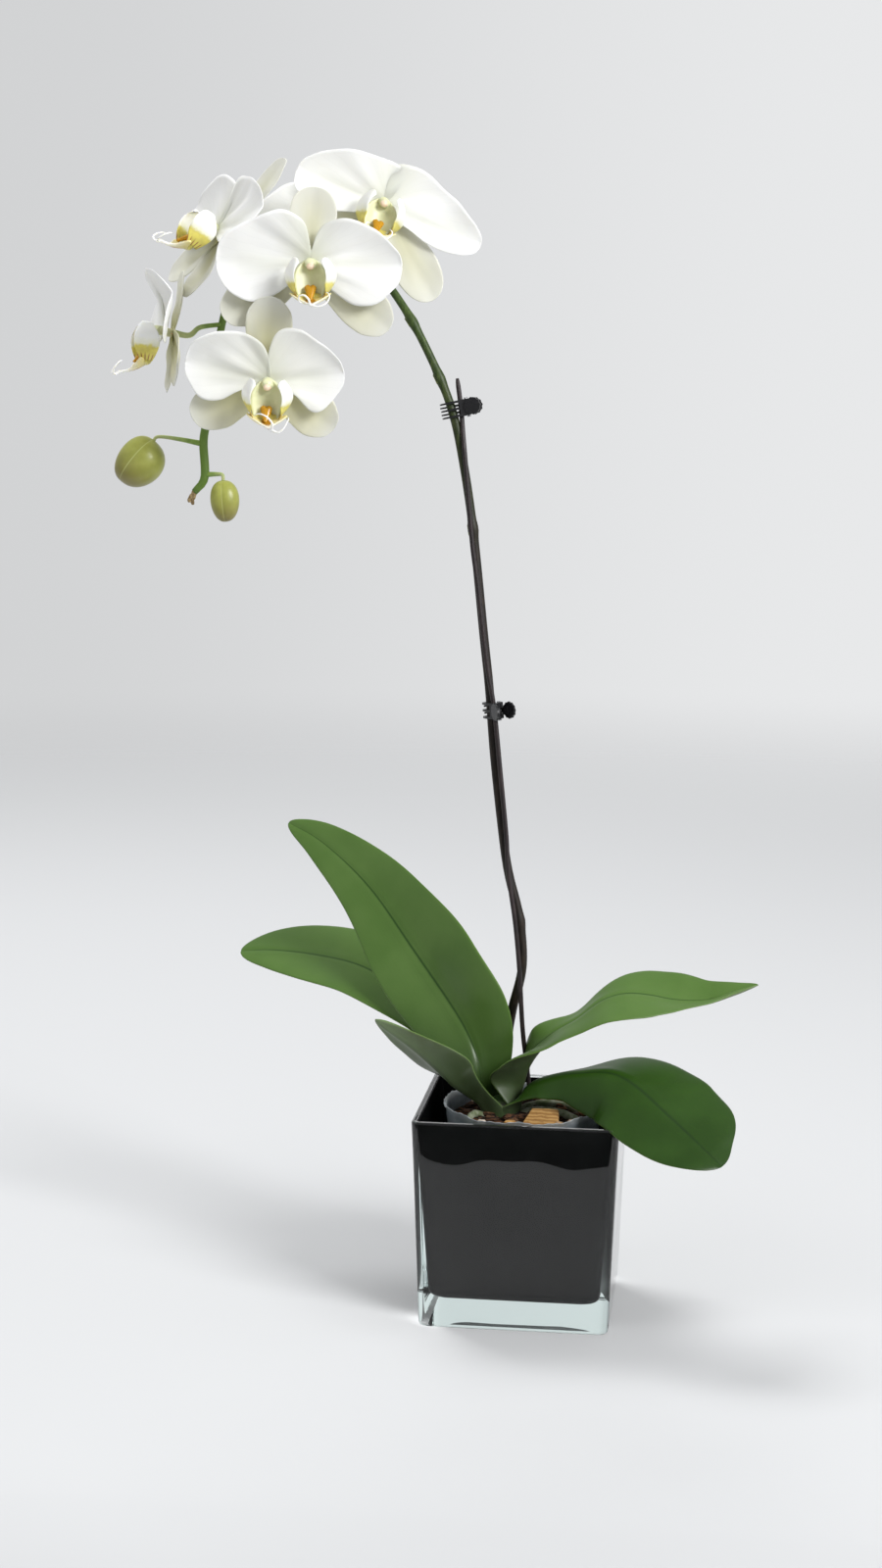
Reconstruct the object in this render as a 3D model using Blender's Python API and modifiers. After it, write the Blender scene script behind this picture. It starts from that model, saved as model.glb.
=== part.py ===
# Potted moth orchid in a square vase of pressed glass.
# Metres, +Z up. The origin is the middle of the vase's foot, and the front of the vase faces -Y.

import math
import random

import bmesh
import bpy
import numpy as np
from mathutils import Matrix, Vector

MM = 0.001
GAP = 0.3 * MM                  # clearance between pieces that touch

# Vase
VASE_TOP = 120 * MM             # outer width at the rim
VASE_FOOT = 111 * MM            # outer width at the foot
VASE_HEIGHT = 124 * MM
VASE_CORNER = 5 * MM
RIM_WALL = 5.2 * MM             # wall at the rim, which grows downwards
FLOOR_HEIGHT = 16.5 * MM        # clear glass under the hollow
FLOOR_WIDTH = 92.2 * MM         # width of the hollow at its floor
LINING_WALL = 0.5 * MM

# Nursery pot and what fills it
POT_RIM_RADIUS = 46.5 * MM
POT_FOOT_RADIUS = 34 * MM
POT_RIM_HEIGHT = 118 * MM
POT_WALL = 0.8 * MM
RIM_WAVE = 0.8 * MM
BARK_TOP = 111 * MM
DRAIN_RADIUS = 3 * MM
DRAIN_RING = 20 * MM            # radius of the ring of drain holes
BARK_CHIPS = 32
BARK_CLEARING = 19 * MM         # radius without chips round the crown
PALE_CHIP = (12, -26)           # middle of the pale chip, in mm
PALE_CHIP_SIZE = (22, 15, 4)    # mm
PALE_CHIP_CLEARING = (17, 15)   # mm from its middle without other chips

# Crown, where the leaves and the spike grow
CROWN_X = -13 * MM
CROWN_LOW = 92 * MM
CROWN_TOP = 126 * MM
CROWN_RADIUS = 7.5 * MM

# Flower spike and stake
SPIKE_RADIUS = 2.6 * MM
STAKE_RADIUS = 1.4 * MM
STALK_RADIUS = 1.5 * MM
NODE_SWELL = 0.7 * MM           # how far the stem swells at a node
SEAM_DEPTH = 0.07               # share of a bud's radius that its seams sink

# Bloom
TEPAL_WALL = 0.7 * MM
LEAF_WALL = 2.0 * MM
HUB_RADIUS = 4.0 * MM
HUB_BACK = 4.0 * MM             # from the middle of the bloom to the flat end of its hub
LIP_WALL = 0.8 * MM
SEPAL_HALF = 14                 # mm, on each side of a sepal's middle
CLAW_SHARE = 0.12               # share of a petal's length that is its claw

# Claw clip
PIN_RADIUS = 0.55 * MM
KNUCKLE_RADIUS = 1.5 * MM
TAB_RADIUS = 5.1 * MM
FINGER_WALL = 1.2 * MM
FINGER_HEIGHT = 1.5 * MM
CLIP_HALF_HEIGHT = 4.75 * MM
PIN_HALF_LENGTH = 5.3 * MM
PIN_HEAD = 0.6 * MM
TAB_TEETH = 12
SPRING_RADIUS = 1.15            # mm
SPRING_WIRE = 0.18 * MM
SPRING_TURNS = 3.5

SPIKE_PATH = (                  # x, y, z in mm and radius as a share of SPIKE_RADIUS
    (-12, 3.5, 127.1, 1.25), (-12, 4, 132, 1.2), (-11.5, 10, 146, 1.15), (-11, 12, 160, 1.1),
    (-8, 9, 178, 1.08), (-2, 1, 205, 1.05), (-4.2, 0, 234, 1.1), (-10.8, 0, 261, 1.03),
    (-14.5, 0, 284, 1.0), (-20, 0, 330, 1.0),
    (-23.5, 0, 370, 1.0), (-27, 0, 400, 1.0), (-34, 0, 462, 0.98), (-41, 0, 505, 0.98),
    (-47, 0, 530, 0.97), (-56, 1, 552, 0.92), (-71, 6, 580, 0.9), (-86, 13, 601, 0.88),
    (-99, 20, 617, 0.85), (-118, 26, 632, 0.8), (-142, 28, 638, 0.75), (-160, 26, 632, 0.72),
    (-172, 22, 618, 0.7), (-180, 17, 597, 0.68), (-186, 12, 568, 0.66), (-190, 8, 543, 0.64),
    (-193, 5, 521, 0.62), (-195.5, 5, 509.5, 0.62), (-193.5, 5, 489.5, 0.6), (-199, 5, 481, 0.55),
)
STAKE_PATH = (                  # x, y, z in mm
    (5, 12, 60), (4, 11, 113), (1.8, 9, 135), (-1, 4, 161), (-2.2, 0, 181), (-3.3, -3.4, 204),
    (-6, -4.9, 232), (-10.5, -4.9, 262), (-12, -4.9, 284), (-16, -4.9, 322), (-20, -4.7, 358),
    (-24.5, -4.8, 384), (-30.5, -4.9, 430), (-34, -4.9, 455), (-38.3, -4.6, 500), (-39.9, -2.7, 514),
    (-40.8, -1, 522), (-41.7, -0.4, 531), (-44.1, 0, 548),
)
NODE_HEIGHTS = (232, 462, 548, 580)          # swollen joints of the spike, in mm above the foot


def lay(points):
    """Points given in millimetres, as an array in metres."""
    return np.array(points, float)[:, :3] * MM


# Blooms: middle, facing direction, direction of the top sepal, and the stalk's root and bend. A sepal
# has its angle and length. A petal has its angle and length, then height and skew of each lobe.
BLOOMS = (
    dict(name="bloom_1", middle=(-89.6, 12, 646.3), facing=(0.25, -0.95, 0.12), top=(0.29, 0.1, 0.95),
         root=(-99, 20, 617), bend=(-88, 25, 636), top_sepal=(95, 25), low_sepals=((-43, 61), (-142, 46)),
         petals=((-4, 61, (26, 0.5), (12, 1.5)), (177, 53, (24, 0.5), (24, 1.25)))),
    dict(name="bloom_2", middle=(-123, -37, 610.6), facing=(0.14, -0.98, -0.06), top=(0, -0.05, 1),
         root=(-130, 27, 635), bend=(-137, 6, 622), top_sepal=(87, 42), low_sepals=((-40, 57), (-149, 58)),
         petals=((-2, 51, (25, 0.85), (22, 1.25)), (180, 53, (28, 0.85), (22, 1.25)))),
    dict(name="bloom_3", middle=(-147, -38, 545), facing=(0.13, -0.97, -0.18), top=(0.07, -0.15, 1),
         root=(-186, 12, 568), bend=(-160, 2, 556), top_sepal=(92, 47), low_sepals=((-34, 46), (-150, 49)),
         petals=((8, 43, (29, 0.75), (20, 1.1)), (170, 48, (26, 0.85), (18, 1.25)))),
    dict(name="bloom_4", middle=(-185, 7, 631), facing=(-0.64, -0.50, 0.58), top=(0.51, 0.29, 0.81),
         root=(-160, 26, 632), bend=(-167, 22, 630), top_sepal=(90, 50), low_sepals=((-48, 54), (-126, 40)),
         petals=((12, 48, (29, 0.85), (20, 1.25)), (168, 50, (29, 0.85), (22, 1.25)))),
    dict(name="bloom_5", middle=(-213, -4, 573), facing=(-0.94, -0.32, 0.13), top=(0.22, 0.15, 0.96),
         root=(-184, 13, 578), bend=(-196, 8, 576), top_sepal=(90, 36), low_sepals=((-60, 43), (-120, 43)),
         petals=((4, 46, (28, 0.85), (24, 1.25)), (176, 46, (28, 0.85), (24, 1.25)))),
    dict(name="bloom_6", middle=(-125, 52, 634), facing=(-0.30, 0.93, 0.20), top=(0.0, -0.2, 1),
         root=(-142, 28, 638), bend=(-130, 40, 640), top_sepal=(90, 40), low_sepals=((-42, 46), (-138, 46)),
         petals=((4, 50, (28, 0.85), (24, 1.25)), (176, 50, (28, 0.85), (24, 1.25)))),
)
BUDS = (
    dict(name="bud_large", base=(-224, 2, 509), tip=(-242, -2, 484), width=27, stalk=STALK_RADIUS,
         root=(-195.5, 5, 509.5), bend=(-212, 5, 512)),
    dict(name="bud_small", base=(-181.5, 2, 488), tip=(-179.5, 0, 464), width=17.5, stalk=STALK_RADIUS,
         root=(-193.5, 5, 489.5), bend=(-187, 4, 491)),
)

# Leaves: midrib in mm, half width in mm, where it is widest, how slowly it gets there, how far it
# tapers, its share of the width at the base, how far the blade lies to one side of its midrib, and
# roll and fold in degrees at even steps to the tip
LEAVES = (
    dict(name="leaf_upright", half=34, widest=0.34, swell=1.1, taper=0.72, base=0.16, lean=0.05,
         roll=(0, -72, -72, -64, -60), fold=(6, 20, 18, 12, 8),
         midrib=((-24.7, -1, 118), (-25.8, -1, 130), (-28.5, 1, 149), (-40, 9, 171), (-70, 27, 207),
                 (-99, 42, 241), (-129, 54, 263), (-152, 60, 272))),
    dict(name="leaf_back", half=30, widest=0.66, swell=1.2, taper=0.15, base=0.22, lean=0.05,
         roll=(-10, -21, -24, -28, -32), fold=(15, 20, 12, 8, 5),
         midrib=((-23.5, 8.5, 118), (-26.5, 11.5, 129), (-36, 18, 143), (-49, 27, 154), (-68, 38, 168),
                 (-91, 51, 182), (-111, 60, 189), (-137, 68, 192), (-162, 73, 193), (-186, 75, 192))),
    dict(name="leaf_low", half=20, widest=0.6, swell=1.3, taper=0.35, base=0.35, lean=0.0,
         roll=(10, 28, 35, 38, 40), fold=(15, 30, 20, 14, 10),
         midrib=((-23.2, -9.8, 117), (-30.5, -13.6, 126), (-42, -14.5, 138), (-62, -21, 158), (-85, -30, 177))),
    dict(name="leaf_right", half=30, widest=0.62, swell=2.8, taper=0.82, base=0.18, lean=-0.15,
         roll=(0, 22, 7, 24, 21, 12), fold=(12, 8, -3, 0, 16, 18),
         midrib=((-3.5, 1.5, 118), (-2.5, 1.5, 131), (1.5, -2.5, 146), (9, -6, 158), (19, -6, 167),
                 (32, -5, 175), (46, -3, 186), (59, 0, 190), (73, 3, 189), (88, 6, 186), (107, 9, 186),
                 (123, 12, 191), (137, 14, 196))),
    dict(name="leaf_front", half=34, widest=0.66, swell=1.6, taper=0.1, base=0.18, lean=-0.1,
         roll=(5, 26, 28, 14, 8, 5), fold=(12, -28, -26, -8, 0, 5),
         midrib=((-2.6, -10, 118), (0.8, -11, 128), (8, -11, 137), (22, -15, 143), (34, -20, 146),
                 (50, -27, 149), (62, -33, 147), (74, -42, 141), (85, -52, 134), (97, -61, 126),
                 (110, -71, 117), (121, -78, 109))),
)

# Roots: points in mm and radius in mm
ROOTS = (
    (((-13, 0, 104), (6, -6, 114.5), (26, -12, 115), (35, -15, 110), (35, -16, 101)), 2.8),
    (((-13, 0, 108), (4, 6, 116), (22, 6, 116), (34, 3, 111), (37, 2, 100)), 2.6),
    (((-13, 0, 106), (-22, 15, 114.5), (-18, 27, 114), (-6, 35, 109), (0, 36, 101)), 2.6),
    (((-13, 0, 104), (-26, -12, 114), (-31, -20, 111), (-30, -23, 102)), 2.4),
)

CLIPS = (
    dict(name="clip_upper", spike_at=(-47, 0, 530), reach=9.1, tilt=-12, turn=0),
    dict(name="clip_lower", spike_at=(-22.2, 0, 357), reach=8.6, tilt=-5, turn=-52),
)


def clear_scene():
    for item in list(bpy.data.objects):
        bpy.data.objects.remove(item, do_unlink=True)


def material(name, colour, roughness, metallic=0.0, alpha=1.0):
    """Principled material, made once for each name."""
    known = bpy.data.materials.get(name)
    if known:
        return known
    made = bpy.data.materials.new(name)
    made.use_nodes = True
    shader = made.node_tree.nodes["Principled BSDF"]
    shader.inputs["Base Color"].default_value = (*colour, 1.0)
    shader.inputs["Roughness"].default_value = roughness
    shader.inputs["Metallic"].default_value = metallic
    shader.inputs["Alpha"].default_value = alpha
    made.diffuse_color = (*colour, 1.0)
    return made


def named_collection(name):
    made = bpy.data.collections.new(name)
    bpy.context.scene.collection.children.link(made)
    return made


clear_scene()
MODEL = named_collection("orchid_in_vase")
CUTTERS = named_collection("cutters")


def add_object(name, mesh, finish=None, place=None, group=None):
    """Object for a mesh, in the model's collection unless another is named."""
    made = bpy.data.objects.new(name, mesh)
    (group or MODEL).objects.link(made)
    if finish:
        mesh.materials.clear()
        mesh.materials.append(finish)
    if place is not None:
        made.matrix_world = place
    return made


def mesh_of(bm, name):
    mesh = bpy.data.meshes.new(name)
    bm.to_mesh(mesh)
    bm.free()
    return mesh


def applied(item):
    """Copy of an object's mesh with its modifiers applied, after which the object is removed."""
    bpy.context.view_layer.update()
    mesh = bpy.data.meshes.new_from_object(item.evaluated_get(bpy.context.evaluated_depsgraph_get()))
    mesh.name = item.name
    bpy.data.objects.remove(item, do_unlink=True)
    return mesh


def round_off(mesh, angle=40):
    mesh.shade_smooth()
    mesh.set_sharp_from_angle(angle=math.radians(angle))


def smooth_path(points, count):
    """Curve through the points with a tangent at each along its neighbours, read at even steps."""
    p = np.array(points, float)
    p = np.vstack([2 * p[0] - p[1], p, 2 * p[-1] - p[-2]])
    t = np.linspace(0, 1, 20, endpoint=False)[:, None]
    runs = [
        0.5 * (2 * b + (c - a) * t + (2 * a - 5 * b + 4 * c - d) * t**2 + (3 * b - a - 3 * c + d) * t**3)
        for a, b, c, d in zip(p, p[1:], p[2:], p[3:])
    ]
    fine = np.vstack(runs + [p[-2:-1]])
    steps = np.linalg.norm(np.diff(fine[:, :3], axis=0), axis=1)
    run = np.concatenate([[0], np.cumsum(steps)])
    at = np.linspace(0, run[-1], count)
    return np.stack([np.interp(at, run, fine[:, k]) for k in range(fine.shape[1])], axis=1)


def tube(name, path, radii, resolution=1, group=None):
    """Round rod along a path in metres, from a bevelled curve with its caps welded on."""
    curve = bpy.data.curves.new(name, "CURVE")
    curve.dimensions = "3D"
    curve.bevel_depth = 1.0
    curve.bevel_resolution = resolution
    curve.use_fill_caps = True
    spline = curve.splines.new("POLY")
    spline.points.add(len(path) - 1)
    for point, spot, radius in zip(spline.points, path, np.broadcast_to(radii, len(path))):
        point.co = (*spot, 1.0)
        point.radius = radius
    mesh = applied(add_object(name, curve, group=group))
    bm = bmesh.new()
    bm.from_mesh(mesh)
    bmesh.ops.remove_doubles(bm, verts=bm.verts, dist=0.001 * MM)
    bm.to_mesh(mesh)
    bm.free()
    return add_object(name, mesh, group=group)


def blade(name, surface, along, across, wall, start=0.0, end=1.0, group=None):
    """Grid laid on surface(u, v), split into triangles, then given a wall on both sides.

    u runs from start to end along the blade, and v from -1 to 1 across it.
    """
    bm = bmesh.new()
    bmesh.ops.create_grid(bm, x_segments=along, y_segments=across, size=1)
    for vert in bm.verts:
        u = start + (end - start) * (vert.co.x + 1) / 2
        vert.co = Vector(surface(u, vert.co.y)) * MM
    bmesh.ops.triangulate(bm, faces=bm.faces, quad_method="FIXED")
    item = add_object(name, mesh_of(bm, name), group=group)
    shell = item.modifiers.new("wall", "SOLIDIFY")
    shell.thickness = wall
    shell.offset = 0
    return add_object(name, applied(item), group=group)


def fuse(name, pieces, finish, place=None, cutters=(), solver="EXACT"):
    """One body from pieces that cross, by a Boolean union on a collection, then less the cutters."""
    group = named_collection(name + "_pieces")
    base = pieces[0]
    for piece in pieces[1:]:
        for home in list(piece.users_collection):
            home.objects.unlink(piece)
        group.objects.link(piece)
    join = base.modifiers.new("join", "BOOLEAN")
    join.operation = "UNION"
    join.operand_type = "COLLECTION"
    join.collection = group
    join.solver = solver
    for cutter in cutters:
        cut(base, cutter, solver)
    mesh = applied(base)
    drop_scraps(mesh)
    for piece in list(group.objects):
        bpy.data.objects.remove(piece, do_unlink=True)
    bpy.data.collections.remove(group)
    round_off(mesh)
    return add_object(name, mesh, finish, place)


def drop_scraps(mesh):
    """Keep only the largest body of a mesh, and drop loose scraps that a cut left."""
    bm = bmesh.new()
    bm.from_mesh(mesh)
    left, bodies = set(bm.verts), []
    while left:
        body, edge = set(), [next(iter(left))]
        while edge:
            vert = edge.pop()
            if vert in left:
                left.discard(vert)
                body.add(vert)
                edge += [e.other_vert(vert) for e in vert.link_edges]
        bodies.append(body)
    largest = max(bodies, key=len)
    bmesh.ops.delete(bm, geom=[v for v in bm.verts if v not in largest], context="VERTS")
    bm.to_mesh(mesh)
    bm.free()


def cut(item, cutter, solver="EXACT"):
    """Take a cutter's shape out of an object with a live Boolean."""
    if cutter.name not in CUTTERS.objects:
        for home in list(cutter.users_collection):
            home.objects.unlink(cutter)
        CUTTERS.objects.link(cutter)
    cutter.hide_render = True
    cutter.display_type = "WIRE"
    hole = item.modifiers.new("cut", "BOOLEAN")
    hole.operation = "DIFFERENCE"
    hole.object = cutter
    hole.solver = solver
    return item


def block(name, size, centre, group=None, turn=0.0):
    """Box of a size about a centre, turned about Z, both in millimetres."""
    bm = bmesh.new()
    bmesh.ops.create_cube(bm, size=1)
    bmesh.ops.scale(bm, vec=Vector(size) * MM, verts=bm.verts)
    bmesh.ops.rotate(bm, matrix=Matrix.Rotation(math.radians(turn), 3, "Z"), verts=bm.verts)
    bmesh.ops.translate(bm, vec=Vector(centre) * MM, verts=bm.verts)
    return add_object(name, mesh_of(bm, name), group=group)


def cone(name, low_radius, high_radius, low, high, sides, middle=(0, 0), group=None):
    """Solid cone or cylinder along Z, in metres."""
    bm = bmesh.new()
    bmesh.ops.create_cone(bm, cap_ends=True, segments=sides, radius1=low_radius,
                          radius2=high_radius, depth=high - low)
    bmesh.ops.translate(bm, vec=(middle[0], middle[1], (low + high) / 2), verts=bm.verts)
    return add_object(name, mesh_of(bm, name), group=group)


# Vase, lining and nursery pot

def tapered_block(name, low_width, high_width, low, high, corner, foot_edge, group=None):
    """Square block that widens upwards, with rounded corners and a rounded lower edge."""
    bm = bmesh.new()
    bmesh.ops.create_cube(bm, size=1)
    for vert in bm.verts:
        width = high_width if vert.co.z > 0 else low_width
        vert.co = (vert.co.x * width, vert.co.y * width, high if vert.co.z > 0 else low)
    upright = [e for e in bm.edges if abs(e.verts[0].co.z - e.verts[1].co.z) > (high - low) / 2]
    bmesh.ops.bevel(bm, geom=upright, offset=corner, segments=4, profile=0.5, affect="EDGES")
    foot = [e for e in bm.edges if all(abs(v.co.z - low) < 1e-6 for v in e.verts)]
    bmesh.ops.bevel(bm, geom=foot, offset=foot_edge, segments=2, profile=0.5, affect="EDGES")
    return add_object(name, mesh_of(bm, name), group=group)


def hollow_width(height, inset):
    """Width of the vase's hollow at a height, less an inset on each side."""
    rise = (height - FLOOR_HEIGHT) / (VASE_HEIGHT - FLOOR_HEIGHT)
    top = VASE_TOP - 2 * RIM_WALL
    return FLOOR_WIDTH + (top - FLOOR_WIDTH) * rise - 2 * inset


def hollow_block(name, inset, low, high, group=None):
    """Block that fills the vase's hollow from low to high, less an inset on each side."""
    return tapered_block(name, hollow_width(low, inset), hollow_width(high, inset), low, high,
                         7 * MM - inset, 6 * MM - inset, group)


def make_vase():
    glass = material("clear_glass", (0.62, 0.74, 0.73), 0.03, alpha=0.4)
    shell = tapered_block("glass_vase", VASE_FOOT, VASE_TOP, 0, VASE_HEIGHT, VASE_CORNER, 1.5 * MM)
    cut(shell, hollow_block("vase_hollow", 0, FLOOR_HEIGHT, VASE_HEIGHT + MM))
    rim = shell.modifiers.new("rim", "BEVEL")
    rim.width = 0.8 * MM
    rim.segments = 2
    rim.limit_method = "ANGLE"
    rim.angle_limit = math.radians(60)
    mesh = applied(shell)
    round_off(mesh)
    add_object("glass_vase", mesh, glass)

    lacquer = material("black_lacquer", (0.015, 0.016, 0.018), 0.25)
    skin = hollow_block("vase_lining", GAP, FLOOR_HEIGHT + GAP, VASE_HEIGHT - 1.2 * MM)
    low = FLOOR_HEIGHT + GAP + LINING_WALL
    cut(skin, hollow_block("lining_hollow", GAP + LINING_WALL, low, VASE_HEIGHT))
    mesh = applied(skin)
    round_off(mesh)
    add_object("vase_lining", mesh, lacquer)
    return low


def make_pot(stand):
    """Thin cup whose rim rises and falls with the angle, with five drain holes in its floor."""
    clear = material("clear_polypropylene", (0.75, 0.78, 0.78), 0.2, alpha=0.4)
    bm = bmesh.new()
    bmesh.ops.create_cone(bm, cap_ends=True, segments=40, radius1=POT_FOOT_RADIUS,
                          radius2=POT_RIM_RADIUS, depth=1)
    lid = [f for f in bm.faces if len(f.verts) > 4 and f.normal.z > 0.5]
    bmesh.ops.delete(bm, geom=lid, context="FACES_ONLY")
    for vert in bm.verts:
        angle = math.atan2(vert.co.y, vert.co.x)
        wave = RIM_WAVE * (math.sin(7 * angle) + 0.6 * math.sin(16 * angle + 1))
        vert.co.z = POT_RIM_HEIGHT + wave if vert.co.z > 0 else stand
    cup = add_object("nursery_pot", mesh_of(bm, "nursery_pot"))
    shell = cup.modifiers.new("wall", "SOLIDIFY")
    shell.thickness = POT_WALL
    shell.offset = -1
    shell.use_even_offset = True
    ring = [math.radians(45 + 90 * k) for k in range(4)]
    spots = [(0, 0)] + [(DRAIN_RING * math.cos(a), DRAIN_RING * math.sin(a)) for a in ring]
    for spot in spots:
        cut(cup, cone("drain", DRAIN_RADIUS, DRAIN_RADIUS, stand - MM, stand + 3 * MM, 12, spot))
    mesh = applied(cup)
    round_off(mesh)
    add_object("nursery_pot", mesh, clear)


# Crown, roots and bark

def root_path(points):
    return smooth_path(lay(points), 7)


def make_crown():
    """Short stem with its roots, one body, and the holes that it leaves in the bark."""
    green = material("orchid_root", (0.30, 0.34, 0.22), 0.6)
    pieces = [cone("crown", CROWN_RADIUS * 0.8, CROWN_RADIUS, CROWN_LOW, CROWN_TOP, 16, (CROWN_X, 0))]
    holes = [cone("crown_hole", CROWN_RADIUS + GAP, CROWN_RADIUS + GAP, CROWN_LOW - GAP,
                  CROWN_TOP + 10 * MM, 16, (CROWN_X, 0))]
    for index, (points, radius) in enumerate(ROOTS):
        path = root_path(points)
        taper = np.linspace(1, 0.75, len(path)) * radius * MM
        pieces.append(tube(f"root_{index}", path, taper))
        ahead = path[-1] + (path[-1] - path[-2]) / np.linalg.norm(path[-1] - path[-2]) * MM
        holes.append(tube(f"root_hole_{index}", np.vstack([path, ahead]),
                          np.append(taper, taper[-1]) + 0.5 * MM))
    fuse("crown_and_roots", pieces, green)
    return holes


def make_bark(stand, holes):
    """Core that fills the pot, with chips sunk into its top by a seeded draw, less the holes."""
    brown = material("bark", (0.20, 0.12, 0.07), 0.85)
    draw = random.Random(7)
    inner = POT_WALL + GAP
    slope = (POT_RIM_RADIUS - POT_FOOT_RADIUS) / (POT_RIM_HEIGHT - stand)
    low = stand + POT_WALL + GAP
    low_radius = POT_FOOT_RADIUS + slope * (low - stand) - inner - 0.2 * MM
    high_radius = POT_FOOT_RADIUS + slope * (BARK_TOP - stand) - inner - 0.2 * MM
    pieces = [cone("core", low_radius, high_radius, low, BARK_TOP, 32)]
    turn = math.pi * (3 - math.sqrt(5))
    for k in range(BARK_CHIPS):
        far = (high_radius - 9 * MM) * math.sqrt((k + 0.5) / BARK_CHIPS)
        spot = Vector((far * math.cos(turn * k), far * math.sin(turn * k), BARK_TOP))
        size = (draw.uniform(9, 15) * MM, draw.uniform(7, 11) * MM, draw.uniform(4, 6) * MM)
        tip = [math.radians(draw.uniform(-14, 14)) for _ in range(2)]
        spin = draw.uniform(0, math.pi)
        if (spot.xy - Vector((CROWN_X, 0))).length < BARK_CLEARING or under_pale_chip(spot):
            continue
        bm = bmesh.new()
        bmesh.ops.create_cube(bm, size=1)
        bmesh.ops.scale(bm, vec=size, verts=bm.verts)
        tipped = Matrix.Rotation(tip[0], 3, "X") @ Matrix.Rotation(tip[1], 3, "Y")
        bmesh.ops.rotate(bm, matrix=Matrix.Rotation(spin, 3, "Z") @ tipped, verts=bm.verts)
        bmesh.ops.translate(bm, vec=spot, verts=bm.verts)
        pieces.append(add_object(f"chip_{k}", mesh_of(bm, "chip")))
    fuse("bark_mix", pieces, brown, cutters=holes)


def under_pale_chip(spot):
    """True where the pale chip lies, so that the bark under it stays flat."""
    return all(abs(spot[k] - PALE_CHIP[k] * MM) < PALE_CHIP_CLEARING[k] * MM for k in range(2))


def make_pale_chip():
    """Split chip of light wood lying on the bark at the front, one end lifted."""
    tan = material("split_pine_bark", (0.42, 0.29, 0.14), 0.8)
    bm = bmesh.new()
    bmesh.ops.create_cube(bm, size=1)
    bmesh.ops.scale(bm, vec=Vector(PALE_CHIP_SIZE) * MM, verts=bm.verts)
    for vert in bm.verts:
        if vert.co.x < 0 and vert.co.y > 0:
            vert.co.x += 6 * MM
    bmesh.ops.rotate(bm, matrix=Matrix.Rotation(math.radians(4), 3, "Z"), verts=bm.verts)
    lift = BARK_TOP + GAP + PALE_CHIP_SIZE[2] / 2 * MM
    bmesh.ops.translate(bm, vec=(PALE_CHIP[0] * MM, PALE_CHIP[1] * MM, lift), verts=bm.verts)
    add_object("pale_chip", mesh_of(bm, "pale_chip"), tan)


# Spike, stake and buds

def make_spike():
    """Arching stem that thins towards its end, with a swollen node and a bract at each joint."""
    green = material("orchid_stem", (0.16, 0.25, 0.10), 0.45)
    path = smooth_path(SPIKE_PATH, 64)
    radii = path[:, 3] * SPIKE_RADIUS
    for height in NODE_HEIGHTS:
        radii += NODE_SWELL * np.exp(-(((path[:, 2] - height) / 4) ** 2)) * (path[:, 0] > -120)
    pieces = [tube("stem", path[:, :3] * MM, radii)]
    for bloom in BLOOMS:
        centre, facing = Vector(bloom["middle"]), Vector(bloom["facing"]).normalized()
        back = centre - facing * (HUB_BACK + GAP) / MM
        behind = back - facing * 9
        points = (bloom["root"], bloom["bend"], tuple(behind), tuple(back))
        line = smooth_path(lay(points), 8)
        swell = STALK_RADIUS * (1 + 0.35 * np.linspace(0, 1, 8) ** 2)
        pieces.append(tube("stalk", line, swell))
    for bud in BUDS:
        base = Vector(bud["base"])
        axis = (Vector(bud["tip"]) - base).normalized()
        end = base - axis * GAP / MM
        points = (bud["root"], bud["bend"], tuple(end - axis * 4), tuple(end))
        pieces.append(tube("stalk", smooth_path(lay(points), 7), bud["stalk"]))
    fuse("flower_spike", pieces, green)

    brown = material("dried_stem", (0.25, 0.15, 0.08), 0.8)
    last = path[-1, :3] * MM
    onward = path[-1, :3] - path[-2, :3]
    onward = onward / np.linalg.norm(onward)
    start = last + onward * GAP
    reach = [start, start + np.array((-2.0, 0, -4)) * MM, start + np.array((-2.6, 0, -8)) * MM]
    add_tip = tube("dried_tip", np.array(reach), np.array((1.3, 1.7, 1.0)) * MM)
    mesh = applied(add_tip)
    round_off(mesh)
    add_object("dried_tip", mesh, brown)


def make_stake():
    dark = material("dark_rod", (0.05, 0.03, 0.035), 0.5)
    mesh = applied(tube("stake", smooth_path(lay(STAKE_PATH), 38), STAKE_RADIUS, resolution=1))
    round_off(mesh)
    add_object("stake", mesh, dark)


def frame_for(facing, top, middle):
    """Matrix whose Z is the facing direction and whose Y leans to the top direction."""
    z = Vector(facing).normalized()
    y = Vector(top)
    y = (y - z * y.dot(z)).normalized()
    x = y.cross(z)
    turned = Matrix((x, y, z)).transposed().to_4x4()
    return Matrix.Translation(Vector(middle) * MM) @ turned


def make_bud(bud):
    """Egg whose three seams are shallow grooves from base to tip."""
    pale = material("orchid_bud", (0.42, 0.47, 0.22), 0.45)
    base, tip = Vector(bud["base"]), Vector(bud["tip"])
    length = (tip - base).length * MM
    bm = bmesh.new()
    bmesh.ops.create_uvsphere(bm, u_segments=15, v_segments=9, radius=1)
    for vert in bm.verts:
        rise = (vert.co.z + 1) / 2
        angle = math.atan2(vert.co.y, vert.co.x)
        seam = 1 - SEAM_DEPTH * max(0.0, math.cos(3 * angle)) ** 3
        fat = (1.12 - 0.22 * rise) * bud["width"] / 2 * MM
        vert.co = (vert.co.x * fat * seam, vert.co.y * fat * seam, rise * length)
    place = frame_for(tip - base, (0, -1, 0.2), base)
    item = add_object(bud["name"], mesh_of(bm, bud["name"]), pale, place)
    round_off(item.data)


# Leaves

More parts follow.
